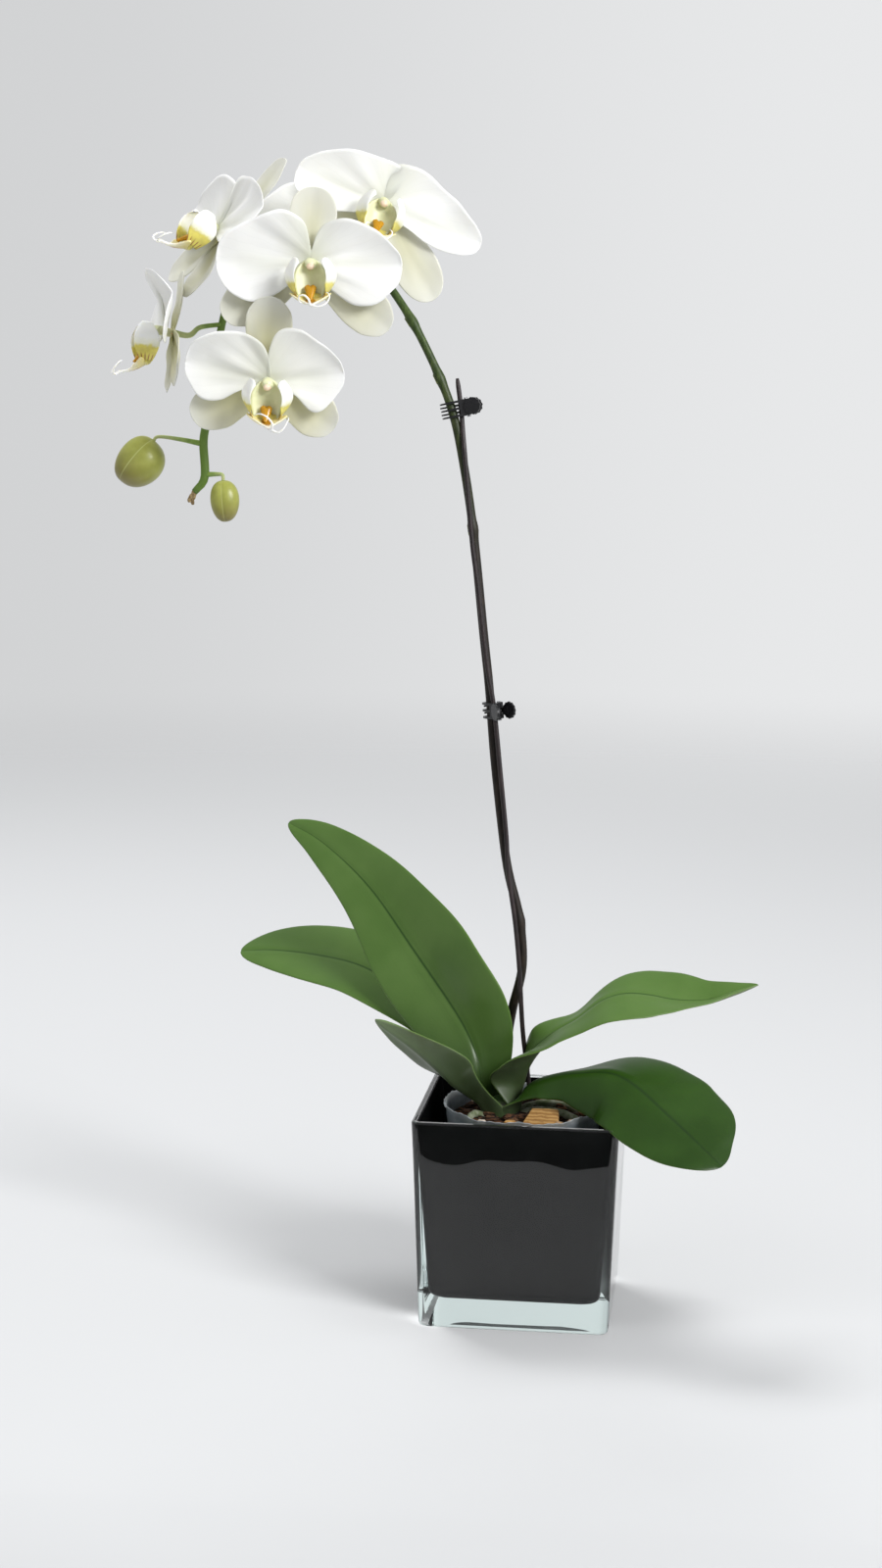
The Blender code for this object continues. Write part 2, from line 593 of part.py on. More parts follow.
def leaf_half_width(u, leaf):
    """Half width: a sine up to the widest place, then a taper that closes as a rounded end."""
    widest, base = leaf["widest"], leaf["base"]
    if u < widest:
        share = base + (1 - base) * math.sin(math.pi / 2 * u / widest) ** leaf["swell"]
    else:
        end = (u - widest) / (1 - widest)
        share = (1 - leaf["taper"] * (3 - 2 * end) * end**2) * math.sqrt(max(0.0, 1 - end**5))
    return leaf["half"] * share


def leaf_surface(leaf):
    """Surface function of a leaf: a midrib in space, rolled and folded across.

    The steps along the leaf grow shorter towards its tip, where its outline turns in.
    """
    path = smooth_path(leaf["midrib"], 61)
    tangents = np.gradient(path, axis=0)
    stations = np.linspace(0, 1, len(path))

    def surface(step, v):
        u = 1 - (1 - step) ** 1.5
        spot = Vector([np.interp(u, stations, path[:, k]) for k in range(3)])
        ahead = Vector([np.interp(u, stations, tangents[:, k]) for k in range(3)]).normalized()
        level = ahead.cross(Vector((0, 0, 1))).normalized()
        roll, fold = (math.radians(np.interp(u, np.linspace(0, 1, len(leaf[key])), leaf[key]))
                      for key in ("roll", "fold"))
        side = Matrix.Rotation(roll, 3, ahead) @ level
        above = side.cross(ahead)
        reach = leaf_half_width(u, leaf)
        crease = math.sqrt(v * v + 0.01) - 0.1
        across = v + leaf["lean"] * v * v
        return spot + side * reach * across * math.cos(fold) + above * reach * (
            crease * math.sin(fold) - 0.10 * v * v)

    return surface


def make_leaves():
    green = material("orchid_leaf", (0.10, 0.24, 0.06), 0.35)
    for leaf in LEAVES:
        item = blade(leaf["name"], leaf_surface(leaf), 11, 4, LEAF_WALL, end=0.985)
        round_off(item.data, 60)
        item.data.materials.append(green)


# Blooms

def tepal(angle, length, high, low, claw, lift, cup, arch, curl):
    """Surface function of a sepal or petal in the bloom's own frame, in mm.

    The blade runs out at an angle. Its lobes start past a narrow claw, and each has its height in mm
    and a skew: below 1 it is widest near the claw, above 1 near the tip. Its height over the bloom's
    plane is a lift, an arch along it, a curl at the tip and a cup across it.
    """
    out = Vector((math.cos(math.radians(angle)), math.sin(math.radians(angle)), 0))
    side = Vector((-out.y, out.x, 0))

    def surface(u, v):
        reach = (1 - math.cos(math.pi * u)) / 2
        width, skew = high if v > 0 else low
        lobe = max(0.0, (u - CLAW_SHARE) / (1 - CLAW_SHARE)) ** skew
        half = claw * (1 - u) + width * math.sin(math.pi * lobe)
        height = lift + arch * math.sin(math.pi * reach) + curl * reach**2 + cup * v * v * reach
        return out * reach * length + side * half * v + Vector((0, 0, height))

    return surface


def tepal_sheets(bloom):
    """Name, surface and cells along and across, for the five sepals and petals of a bloom."""
    sheets = []
    for name, (angle, length) in zip(("top_sepal", "right_sepal", "left_sepal"),
                                     (bloom["top_sepal"], *bloom["low_sepals"])):
        half = (SEPAL_HALF, 1.3)
        sheets.append((name, tepal(angle, length, half, half, 4, -2.4, 2.0, -2.5, -3.0), 4, 2))
    for name, petal, side in zip(("right_petal", "left_petal"), bloom["petals"], (1, -1)):
        angle, length, upper, lower = petal
        lobes = (upper, lower)[::side]
        sheets.append((name, tepal(angle, length, *lobes, 3.5, 1.8, 1.5, -1.5, -2.5), 6, 4))
    return sheets


def make_tepals(bloom):
    """Three sepals behind, two broad petals in front, a hub and the column, grown as one."""
    white = material("orchid_petal", (0.90, 0.90, 0.86), 0.55)
    hub = cone("hub", 3.0 * MM, HUB_RADIUS, -HUB_BACK, 3 * MM, 8)
    pieces = [hub]
    for name, surface, along, across in tepal_sheets(bloom):
        pieces.append(blade(name, surface, along, across, TEPAL_WALL, start=0.02, end=0.965))
    column = smooth_path(lay(((0, 0, 0), (0, 0.4, 5), (0, -1.2, 10.5))), 4)
    pieces.append(tube("column", column, np.array((2.6, 2.8, 3.2, 2.4)) * MM))
    place = frame_for(bloom["facing"], bloom["top"], bloom["middle"])
    fuse(bloom["name"] + "_tepals", pieces, white, place)


def side_lobe(sign):
    """Wing of the lip: a shell that bulges outwards and curls in over the column."""
    def surface(u, v):
        bulge = 3.2 + 9.5 * math.sin(math.pi * (0.04 + 0.80 * u))
        wide = 2.2 + 5.0 * math.sin(math.pi * min(1.0, 0.15 + 0.75 * u))
        inward = 2.5 * ((v + 1) / 2) ** 2 * u
        return Vector((sign * (bulge - inward), -18 + 21 * u, 11.5 + wide * v + 1.5 * u))
    return surface


def middle_lobe(u, v):
    """Trowel of the lip: pointed corners a third of the way out, then a taper to the tip."""
    corner = math.exp(-(((u - 0.42) / 0.2) ** 2))
    half = 2.6 * (1 - u) + 7.0 * corner + 1.0
    return Vector((half * v, -17.5 - 10 * u + 2.0 * v * v * corner, 7.5 + 19 * u))


def make_lip(bloom):
    """Claw, two side lobes, trowel, callus and the two tendrils at its tip."""
    cream = material("orchid_lip", (0.86, 0.80, 0.42), 0.5)
    pieces = [
        blade("trowel", middle_lobe, 4, 2, 1.6 * MM),
        blade("right_wing", side_lobe(1), 4, 2, LIP_WALL),
        blade("left_wing", side_lobe(-1), 4, 2, LIP_WALL),
        tube("claw", lay(((0, -3.5, 5.2), (0, -12, 6.5),
        (0, -18.5, 9.5))), np.array((1.5, 2.3, 4.4)) * MM, 0),
        tube("seat", lay(((-5.5, -16.8, 9.5), (5.5, -16.8, 9.5))), 2.0 * MM, 0),
        tube("callus", lay(((0, -18, 9.5), (0, -13.5, 13.5))), np.array((3.6, 2.4)) * MM, 0),
    ]
    for sign in (-1, 1):
        curl = ((0, -27, 24.5), (3.5 * sign, -28.5, 28), (7.5 * sign, -26, 29), (9.5 * sign, -21.5, 26),
                (8 * sign, -18.5, 22.5))
        pieces.append(tube("tendril", smooth_path(lay(curl), 5), np.linspace(0.6, 0.4, 5) * MM, resolution=0))
    place = frame_for(bloom["facing"], bloom["top"], bloom["middle"])
    fuse(bloom["name"] + "_lip", pieces, cream, place)


# Claw clips

FINGER_LINE = ((-1.0, 2.9), (-4.0, 3.5), (-8.0, 3.7), (-11.5, 3.4), (-14.0, 1.9), (-15.0, -0.9))


def make_jaw(clip, name, side, fingers, knuckles, place):
    """Half of a claw clip: fingers that curl round the stem, knuckles on the pin, a round tab.

    side is -1 for the front jaw and 1 for the back one. fingers and knuckles are heights in mm.
    """
    black = material("black_abs", (0.02, 0.02, 0.022), 0.35)
    line = smooth_path([(x, side * y, 0) for x, y in FINGER_LINE], 8)
    pieces = [block("spine", (3.0, 1.2, 9.5), (-2.6, side * 3.25, 0), turn=-side * 8)]
    for height in fingers:
        def surface(u, v, height=height):
            spot = [np.interp(u, np.linspace(0, 1, len(line)), line[:, k]) for k in range(2)]
            slim = FINGER_HEIGHT / MM / 2 * (1 - 0.45 * u)
            return Vector((spot[0], spot[1], height + slim * v))
        pieces.append(blade("finger", surface, 6, 1, FINGER_WALL))
    for low, high in knuckles:
        pieces.append(cone("knuckle", KNUCKLE_RADIUS, KNUCKLE_RADIUS, low * MM, high * MM, 8))
        pieces.append(block("web", (2.4, 3.4, high - low), (-0.6, side * 1.9, (low + high) / 2)))
    pieces.append(block("arm", (4.4, 1.4, 5.0), (1.2, side * 3.7, 0), turn=side * 14))
    tab = tab_disc(side)
    pieces.append(tab)
    bore = cone("bore", PIN_RADIUS + GAP, PIN_RADIUS + GAP, -CLIP_HALF_HEIGHT - MM,
                CLIP_HALF_HEIGHT + MM, 8)
    bore.name = f"{clip}_{name}_bore"
    fuse(f"{clip}_{name}_jaw", pieces, black, place, cutters=[bore])


def tab_disc(side):
    """Round thumb tab with a toothed edge, leaning away from the other jaw."""
    bm = bmesh.new()
    bmesh.ops.create_cone(bm, cap_ends=True, segments=2 * TAB_TEETH, radius1=1, radius2=1, depth=1)
    for vert in bm.verts:
        angle = math.atan2(vert.co.y, vert.co.x)
        crest = round((angle / math.pi) * TAB_TEETH) % 2
        radius = TAB_RADIUS - (0.45 * MM if crest else 0)
        vert.co = (radius * math.cos(angle), radius * math.sin(angle), vert.co.z * 1.2 * MM)
    bmesh.ops.rotate(bm, matrix=Matrix.Rotation(math.radians(90), 3, "X"), verts=bm.verts)
    bmesh.ops.rotate(bm, matrix=Matrix.Rotation(math.radians(side * 10), 3, "Z"), verts=bm.verts)
    bmesh.ops.translate(bm, vec=Vector((3.4, side * 4.9, 0)) * MM, verts=bm.verts)
    return add_object("tab", mesh_of(bm, "tab"))


def make_clip(clip):
    """Two jaws on a pin with a coil spring, put so that its fingers go round spike and stake."""
    turned = Matrix.Rotation(math.radians(clip["tilt"]), 4, "Y") @ Matrix.Rotation(
        math.radians(clip["turn"]), 4, "Z")
    at = Matrix.Translation(Vector(clip["spike_at"]) * MM)
    place = at @ turned @ Matrix.Translation(Vector((clip["reach"], 0, 0)) * MM)
    make_jaw(clip["name"], "moving", -1, (-4.0, 0.0, 4.0), ((-4.7, -2.9), (2.9, 4.7)), place)
    make_jaw(clip["name"], "fixed", 1, (-2.0, 2.0), ((-2.6, -1.6), (1.6, 2.6)), place)

    steel = material("spring_steel", (0.55, 0.55, 0.55), 0.3, metallic=1.0)
    shank = cone("shank", PIN_RADIUS, PIN_RADIUS, -PIN_HALF_LENGTH, PIN_HALF_LENGTH, 8)
    heads = [cone("head", 2 * PIN_RADIUS, 2 * PIN_RADIUS, low, low + PIN_HEAD, 8)
             for low in (-PIN_HALF_LENGTH - PIN_HEAD / 2, PIN_HALF_LENGTH - PIN_HEAD / 2)]
    fuse(clip["name"] + "_pin", [shank] + heads, steel, place)

    steps = 25
    coil = []
    for k in range(steps + 1):
        angle = 2 * math.pi * SPRING_TURNS * k / steps
        rise = -1.05 + 2.1 * k / steps
        coil.append((SPRING_RADIUS * math.cos(angle), SPRING_RADIUS * math.sin(angle), rise))
    legs = [(1.9, 0.9, -1.05), *coil[1:], (-1.5, -0.6, 1.05)]
    wire = tube("spring", lay(legs), SPRING_WIRE, resolution=0)
    mesh = applied(wire)
    round_off(mesh, 60)
    add_object(clip["name"] + "_spring", mesh, steel, place)


stand_height = make_vase() + GAP
make_pot(stand_height)
crown_holes = make_crown()
stake_hole = tube("stake_hole", smooth_path(lay(((5, 12, 59.5),) + STAKE_PATH[1:3]), 5),
                  STAKE_RADIUS + GAP, resolution=2)
make_bark(stand_height, crown_holes + [stake_hole])
make_pale_chip()
make_spike()
make_stake()
make_leaves()
for one_bud in BUDS:
    make_bud(one_bud)
for one_bloom in BLOOMS:
    make_tepals(one_bloom)
    make_lip(one_bloom)
for one_clip in CLIPS:
    make_clip(one_clip)
bpy.context.view_layer.update()
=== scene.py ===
from functools import partial
import math

import bpy
from mathutils import Matrix
import numpy as np


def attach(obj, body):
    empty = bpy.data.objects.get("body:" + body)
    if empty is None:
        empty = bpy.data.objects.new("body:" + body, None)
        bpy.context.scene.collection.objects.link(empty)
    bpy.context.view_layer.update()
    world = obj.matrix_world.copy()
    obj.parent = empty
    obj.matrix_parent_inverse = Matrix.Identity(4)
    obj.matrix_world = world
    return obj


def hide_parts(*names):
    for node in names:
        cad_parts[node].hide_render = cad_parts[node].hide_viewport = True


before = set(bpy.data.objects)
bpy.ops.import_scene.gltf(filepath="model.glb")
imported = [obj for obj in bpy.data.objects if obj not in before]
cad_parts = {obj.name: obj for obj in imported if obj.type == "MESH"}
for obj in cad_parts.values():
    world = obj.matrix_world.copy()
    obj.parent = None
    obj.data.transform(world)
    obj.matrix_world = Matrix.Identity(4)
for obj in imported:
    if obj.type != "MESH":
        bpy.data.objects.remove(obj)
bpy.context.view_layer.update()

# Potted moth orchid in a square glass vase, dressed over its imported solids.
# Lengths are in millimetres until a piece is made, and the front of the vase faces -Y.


# Glass vase
# A cube of thick pressed soda lime glass with a heavy clear base. Its walls thicken downwards, and
# its rim and edges are rounded by fire polishing. One body: a profile carried round a rounded square.

MM = 0.001
VASE_HEIGHT = 124.0
RIM_HALF, FOOT_HALF = 60.0, 55.5
HOLLOW_RIM_HALF, HOLLOW_FLOOR_HALF = 56.8, 49.6
HOLLOW_FLOOR = 16.5
VASE_CORNER, HOLLOW_CORNER, RIM_CORNER = 5.0, 6.0, 1.8
RIM_ROUND, FOOT_ROUND, FLOOR_ROUND = 1.1, 2.6, 6.0


def linear(colour):
    """Linear red, green and blue of a hex colour, with the sRGB curve undone channel by channel."""
    channels = [int(colour[k:k + 2], 16) / 255 for k in (1, 3, 5)]
    return tuple(c / 12.92 if c <= 0.04045 else ((c + 0.055) / 1.055) ** 2.4 for c in channels) + (1.0,)


# Unless a node says not, a mix is one of colours, a range follows a smooth step held at both ends, and
# maths multiplies
USUAL = {"Mix": {"data_type": "RGBA"}, "MapRange": {"interpolation_type": "SMOOTHSTEP"},
         "Math": {"operation": "MULTIPLY"}}


def feed(material, node, inputs):
    """Inputs of a node, in order or by name: each gets a value, a hex colour, or a link from an output
    or from the first output in use of another node."""
    if not isinstance(inputs, dict):
        inputs = inputs if isinstance(inputs, tuple) else (inputs,)
        inputs = dict(zip([key for key, socket in enumerate(node.inputs) if socket.enabled], inputs))
    for key, value in inputs.items():
        if isinstance(value, bpy.types.Node):
            value = next(socket for socket in value.outputs if socket.enabled)
        if isinstance(value, bpy.types.NodeSocket):
            material.node_tree.links.new(value, node.inputs[key])
        else:
            node.inputs[key].default_value = linear(value) if isinstance(value, str) else value


def add_node(material, kind, inputs=(), **settings):
    """One node with its settings, fed with its inputs."""
    made = material.node_tree.nodes.new("ShaderNode" + kind)
    for name, value in {**USUAL.get(kind, {}), **settings}.items():
        setattr(made, name, value)
    feed(material, made, inputs)
    return made


def new_material(name, inputs):
    """Material of one Principled shader with these inputs, the shader, and what adds a node to it."""
    made = bpy.data.materials.new(name)
    made.use_nodes = True
    shader = made.node_tree.nodes["Principled BSDF"]
    feed(made, shader, inputs)
    return made, shader, partial(add_node, made)


def shell(rings, run=None, finish=0):
    """Closed body through rings[ring, point]: quads join each ring to the next, and a fan closes each
    end on the middle of its ring. run holds three values for each point, which the materials read.
    """
    count, around = rings.shape[:2]
    at = np.arange(count * around).reshape(count, around)
    beside = np.roll(at, -1, axis=1)
    quads = np.stack([at[:-1], beside[:-1], beside[1:], at[1:]], axis=-1).reshape(-1, 4)
    low, high = np.full(around, count * around), np.full(around, count * around + 1)
    fans = np.vstack([np.stack([beside[0], at[0], low], -1), np.stack([at[-1], beside[-1], high], -1)])
    points = np.vstack([rings.reshape(-1, 3), rings[0].mean(0), rings[-1].mean(0)])
    halves = np.vstack([quads[:, :3], quads[:, [0, 2, 3]], fans])
    a, b, c = points[halves[:, 0]], points[halves[:, 1]], points[halves[:, 2]]
    if np.einsum("ij,ij->i", a, np.cross(b, c)).sum() < 0:
        quads, fans = quads[:, ::-1], fans[:, ::-1]
    run = np.zeros(rings.shape) if run is None else np.broadcast_to(run, rings.shape)
    values = np.vstack([run.reshape(-1, 3), run[0].mean(0), run[-1].mean(0)])
    return points, quads, fans, values, finish


def add_piece(name, shells, finishes, nodes, crease=None):
    """Object of one or more shells at the origin, in metres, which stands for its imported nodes."""
    points, faces, values, slots, start = [], [], [], [], 0
    for spots, quads, fans, run, finish in shells:
        points.append(spots)
        values.append(run)
        faces += (quads + start).tolist() + (fans + start).tolist()
        slots += [finish] * (len(quads) + len(fans))
        start += len(spots)
    mesh = bpy.data.meshes.new(name)
    mesh.from_pydata((np.vstack(points) * MM).tolist(), [], faces)
    for finish in finishes:
        mesh.materials.append(finish)
    mesh.polygons.foreach_set("material_index", slots)
    run = mesh.attributes.new("run", "FLOAT_VECTOR", "POINT")
    run.data.foreach_set("vector", np.vstack(values).ravel())
    mesh.shade_smooth()
    if crease:
        mesh.set_sharp_from_angle(angle=math.radians(crease))
    mesh.update()
    piece = bpy.data.objects.new(name, mesh)
    bpy.context.scene.collection.objects.link(piece)
    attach(piece, "orchid_and_vase")
    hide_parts(*nodes)
    return piece


def rounded_squares(half, corner, sides=22, turns=8):
    """Loops of squares with round corners, one for each half width: a quarter circle at each corner
    about its own centre, and even steps along each side."""
    half, corner = np.asarray(half, float)[:, None], np.asarray(corner, float)[:, None]
    corner = np.minimum(corner, half * 0.98)
    turn = np.linspace(0, np.pi / 2, turns)
    step = np.linspace(0, 1, sides + 2)[1:-1]
    x = np.hstack([half - corner + corner * np.cos(turn), (half - corner) * (1 - 2 * step)])
    y = np.hstack([half - corner + corner * np.sin(turn), np.repeat(half, sides, axis=1)])
    return np.stack([np.hstack([x, -y, -x, y]), np.hstack([y, x, -y, -x])], axis=-1)


def lifted(loops, height):
    """Flat loops with a height each, as rings in space."""
    height = np.broadcast_to(np.asarray(height, float)[:, None], loops.shape[:2])
    return np.concatenate([loops, height[..., None]], axis=-1)


def hollow_half(height):
    """Half width of the vase's hollow, which narrows evenly from the rim to its floor."""
    rise = (height - HOLLOW_FLOOR) / (VASE_HEIGHT - HOLLOW_FLOOR)
    return HOLLOW_FLOOR_HALF + (HOLLOW_RIM_HALF - HOLLOW_FLOOR_HALF) * rise


def hollow_profile(inset, floor, top, steps=26):
    """Half width, corner and height down the hollow's wall, round its lower edge and along its floor."""
    fall = np.linspace(top, floor + FLOOR_ROUND, steps)
    bend = np.linspace(0, np.pi / 2, 8)[1:]
    corner = np.interp(fall, (floor, 85, top), (HOLLOW_CORNER, RIM_CORNER + 0.8, RIM_CORNER)) - inset
    wall = np.stack([hollow_half(fall) - inset, corner, fall], -1)
    edge = wall[-1, 0] - FLOOR_ROUND
    turn = np.stack([edge + FLOOR_ROUND * np.cos(bend), corner[-1] + 1.5 * np.sin(bend),
                     floor + FLOOR_ROUND * (1 - np.sin(bend))], -1)
    inward = np.linspace(edge, 1.0, 8)[1:]
    base = np.stack([inward, np.full(7, HOLLOW_CORNER), np.full(7, floor)], -1)
    return np.vstack([wall, turn, base])


def vase_profile():
    """Half width, corner and height from the middle of the foot, out, up the wall, over and inside."""
    out = np.array([1.0, 14, 27, 38, 46, 50])
    foot = np.stack([out, np.full(6, VASE_CORNER), 0.1 * (1 - (out / 50) ** 2)], -1)
    bend = np.linspace(-np.pi / 2, 0, 6)
    turn = np.stack([FOOT_HALF - FOOT_ROUND + FOOT_ROUND * np.cos(bend), np.full(6, VASE_CORNER),
                     FOOT_ROUND * (1 + np.sin(bend))], -1)
    rise = np.linspace(FOOT_ROUND, VASE_HEIGHT - RIM_ROUND, 40)[1:]
    share = rise / VASE_HEIGHT
    wall = np.stack([FOOT_HALF + (RIM_HALF - FOOT_HALF) * share, np.full(39, VASE_CORNER), rise], -1)
    over = np.linspace(0, np.pi / 2, 5)[1:]
    lip = np.stack([wall[-1, 0] - RIM_ROUND * (1 - np.cos(over)), np.full(4, VASE_CORNER),
                    rise[-1] + RIM_ROUND * np.sin(over)], -1)
    inner = hollow_half(VASE_HEIGHT)
    back = np.stack([inner + RIM_ROUND * (1 - np.sin(over[::-1])), np.full(4, RIM_CORNER),
                     rise[-1] + RIM_ROUND * np.cos(np.pi / 2 - over[::-1])], -1)
    hollow = hollow_profile(0.0, HOLLOW_FLOOR, VASE_HEIGHT - RIM_ROUND)
    return np.vstack([foot, turn, wall, lip, back, hollow])


def pressing_waves(rings):
    """Rings of the vase with its outer walls pushed in and out by up to a quarter of a millimetre, in
    two slow waves across and up the wall, as the mould and the fire leave them."""
    x, y, z = np.moveaxis(rings, -1, 0)
    along = np.where(np.abs(x) > np.abs(y), y, x)
    outer = np.clip((np.maximum(np.abs(x), np.abs(y)) - 55.0) / 1.5, 0, 1)
    fade = outer * np.sin(np.pi * np.clip((z - 3) / 119, 0, 1))
    wave = 0.16 * np.cos(2 * np.pi * along / 78) * np.sin(2 * np.pi * (z - 40) / 120)
    wave += 0.05 * np.sin(2 * np.pi * along / 33 + z / 17)
    size = 1 - fade * (wave + 0.22) / 60
    return np.stack([x * size, y * size, z], axis=-1)


def pressed_glass():
    """Soda lime glass with a smooth fire-polished skin, so a sharp gloss and a clear body. Iron in the
    sand gives its thick edges a pale green blue, which grows with the path through it."""
    made, _, add = new_material("pressed_soda_lime_glass", {
        "Base Color": "#FBFEFD", "Roughness": 0.0, "IOR": 1.52, "Transmission Weight": 1.0})
    depth = add("VolumeAbsorption", {"Color": "#C8F0EC", "Density": 3.0})
    feed(made, made.node_tree.nodes["Material Output"], {"Volume": depth})
    return made


profile = vase_profile()
glass_rings = pressing_waves(lifted(rounded_squares(profile[:, 0], profile[:, 1]), profile[:, 2]))
glass = add_piece("vase_glass", [shell(glass_rings)], [pressed_glass()], ["glass_vase"])
glass.visible_shadow = False


# Lining of the vase
# Black lacquer sprayed on the inside of the glass and baked. It lies on the wall with no air between,
# so it is seen through the glass as a deep black, and it stops just under the rim.

LACQUER_WALL = 0.5
LACQUER_TOP = VASE_HEIGHT - 1.1


def black_lacquer():
    """Baked lacquer: even and black, a little cloudy where it was sprayed thinner, with a soft gloss."""
    made, shader, add = new_material("baked_black_lacquer", {"Roughness": 0.35, "Specular IOR Level": 0.06})
    place = add("TexCoord").outputs["Object"]
    cloud = add("TexNoise", {"Vector": place, "Scale": 35.0, "Detail": 3.0})
    colour = add("Mix", (add("MapRange", (cloud, 0.35, 0.7)), "#050606", "#0A0B0B"))
    feed(made, shader, {"Base Color": colour})
    return made


outside = hollow_profile(-0.05, HOLLOW_FLOOR - 0.05, LACQUER_TOP)[::-1]
inside = hollow_profile(LACQUER_WALL, HOLLOW_FLOOR + LACQUER_WALL, LACQUER_TOP)
coat = np.vstack([outside, inside])
add_piece("vase_lacquer", [shell(lifted(rounded_squares(coat[:, 0], coat[:, 1]), coat[:, 2]))],
          [black_lacquer()], ["vase_lining"], crease=50)


# Nursery pot
# A thin cup of frosted clear polypropylene, vacuum formed, with a small lip turned outwards. Its cut
# edge rises and falls in short scallops. It stands on the lining, and its drain holes are below.

POT_STAND = 17.6
POT_RIM, POT_FOOT, POT_WALL = 46.4, 34.0, 0.7
POT_HEIGHT = 122.3


def pot_rings(rows, spokes=240):
    """Circles at the rows' radii and heights. The rim's waves of seven and sixteen to the turn, with
    finer scallops on them, fade out within the top third of the cup."""
    radius, height = np.asarray(rows, float).T[:, :, None]
    angle = np.linspace(0, 2 * np.pi, spokes, endpoint=False)
    near = np.clip((height - POT_STAND) / (POT_HEIGHT - POT_STAND) * 1.5 - 0.5, 0, 1) ** 2
    wave = 0.7 * np.sin(7 * angle) + 0.4 * np.sin(16 * angle + 1) + 0.22 * np.sin(52 * angle)
    reach = radius + 0.12 * near * np.sin(52 * angle + 0.6)
    return np.stack([reach * np.cos(angle), reach * np.sin(angle), height + near * wave], axis=-1)


def frosted_plastic():
    """Polypropylene film formed over a mould: cloudy and clear at once, a little blue in depth. Its top
    five millimetres are painted paler, as a painted highlight along the rim."""
    made, shader, add = new_material("frosted_polypropylene",
                                     {"Roughness": 0.34, "IOR": 1.49, "Transmission Weight": 0.72})
    place = add("TexCoord").outputs["Object"]
    height = add("SeparateXYZ", place).outputs[2]
    haze = add("TexNoise", {"Vector": place, "Scale": 90.0, "Detail": 4.0})
    # Painted highlight: the top five millimetres of the rim are painted paler.
    edge = add("MapRange", (height, 0.1180, 0.1230))
    body = add("Mix", (add("MapRange", (haze, 0.3, 0.75)), "#97A3AA", "#C2CCD1"))
    feed(made, shader, {"Base Color": add("Mix", (edge, body, "#DCE3E6"))})
    return made


def pot_slope(height):
    """Radius of the pot's outer wall, which widens evenly upwards."""
    return POT_FOOT + (POT_RIM - POT_FOOT) * (height - POT_STAND) / (POT_HEIGHT - POT_STAND)


climb = np.linspace(POT_STAND + 1.2, POT_HEIGHT - 2.5, 18)
outer_rows = [(1, POT_STAND), (20, POT_STAND), (POT_FOOT - 1, POT_STAND), (POT_FOOT, POT_STAND + 0.8)]
outer_rows += [(pot_slope(z), z) for z in climb]
outer_rows += [(POT_RIM + 0.1, POT_HEIGHT - 1.2), (POT_RIM + 1.0, POT_HEIGHT - 0.3),
               (POT_RIM + 1.1, POT_HEIGHT)]
inner_rows = [(POT_RIM + 0.5, POT_HEIGHT + 0.1), (POT_RIM - 0.4, POT_HEIGHT - 0.6)]
inner_rows += [(pot_slope(z) - POT_WALL, z) for z in climb[::-1]]
inner_rows += [(POT_FOOT - 1.2, POT_STAND + POT_WALL), (20, POT_STAND + POT_WALL),
               (1, POT_STAND + POT_WALL)]
add_piece("pot_cup", [shell(pot_rings(outer_rows + inner_rows))], [frosted_plastic()],
          ["nursery_pot"])


# Bark
# Chips of pine bark, split and sieved, 8 to 15 mm long, heaped to just under the pot's rim round the
# crown. A dark bed fills the pot beneath them. The draw that turns and tones the chips is seeded.

BARK_BED = 112.8
HEAP_RADIUS, CHIP_COUNT, GOLDEN_TURN = 40.0, 150, 2.39996
CHIP_LOW, CHIP_HIGH, CHIP_SUNK = 113.6, 117.3, 112.0
CROWN = np.array((-13.0, 0.0))


def rounded_chip(size, corners, draw, rows=(0.72, 1.0, 0.97, 0.7)):
    """Rings of a flat split chip: an uneven polygon, drawn at four heights and narrower at the faces."""
    angle = np.linspace(0, 2 * np.pi, corners, endpoint=False) + draw.uniform(-0.2, 0.2, corners)
    reach = draw.uniform(0.72, 1.0, corners)
    flat = np.stack([np.cos(angle) * reach, np.sin(angle) * reach], -1)
    level = np.linspace(-0.5, 0.5, len(rows))
    rings = np.concatenate([flat[None] * np.array(rows)[:, None, None],
                            np.broadcast_to(level[:, None, None], (len(rows), corners, 1))], -1)
    return (rings + draw.normal(0, 0.035, rings.shape)) * np.array(size) / np.array((2, 2, 1))


def turned(points, yaw, pitch, roll):
    """Points turned about X by roll, then about Y by pitch, then about Z by yaw, in radians."""
    for axis, angle in ((0, roll), (1, pitch), (2, yaw)):
        a, b = [(1, 2), (2, 0), (0, 1)][axis]
        cos, sin = math.cos(angle), math.sin(angle)
        points = points.copy()
        points[..., a], points[..., b] = (points[..., a] * cos - points[..., b] * sin,
                                          points[..., a] * sin + points[..., b] * cos)
    return points


def pine_bark():
    """Dead bark, dry and matt: red brown to nearly black in thin layers, with grey cork on some faces.
    The first value of a chip's run is its tone. Layers are 1.6 mm apart."""
    made, shader, add = new_material("pine_bark", {"Roughness": 0.9, "Specular IOR Level": 0.25})
    place = add("TexCoord").outputs["Object"]
    tone = add("SeparateXYZ", add("Attribute", attribute_name="run").outputs[1])
    grain = add("TexNoise", {"Vector": place, "Scale": 420.0, "Detail": 6.0, "Roughness": 0.65})
    layer = add("TexWave", {"Vector": place, "Scale": 200.0, "Distortion": 6.0, "Detail": 3.0},
                bands_direction="Z")
    base = add("Mix", (tone.outputs[0], "#1E130C", "#5A3A24"))
    aged = add("Mix", (add("MapRange", (grain, 0.5, 0.75)), base, "#6B5643"))
    dark = add("Mix", (add("MapRange", (layer.outputs[1], 0.1, 0.5)), "#150D09", aged))
    height = add("Math", (grain, layer.outputs[1]), operation="ADD")
    bump = add("Bump", {"Height": height, "Strength": 0.7, "Distance": 0.0006})
    feed(made, shader, {"Base Color": dark, "Normal": bump})
    return made


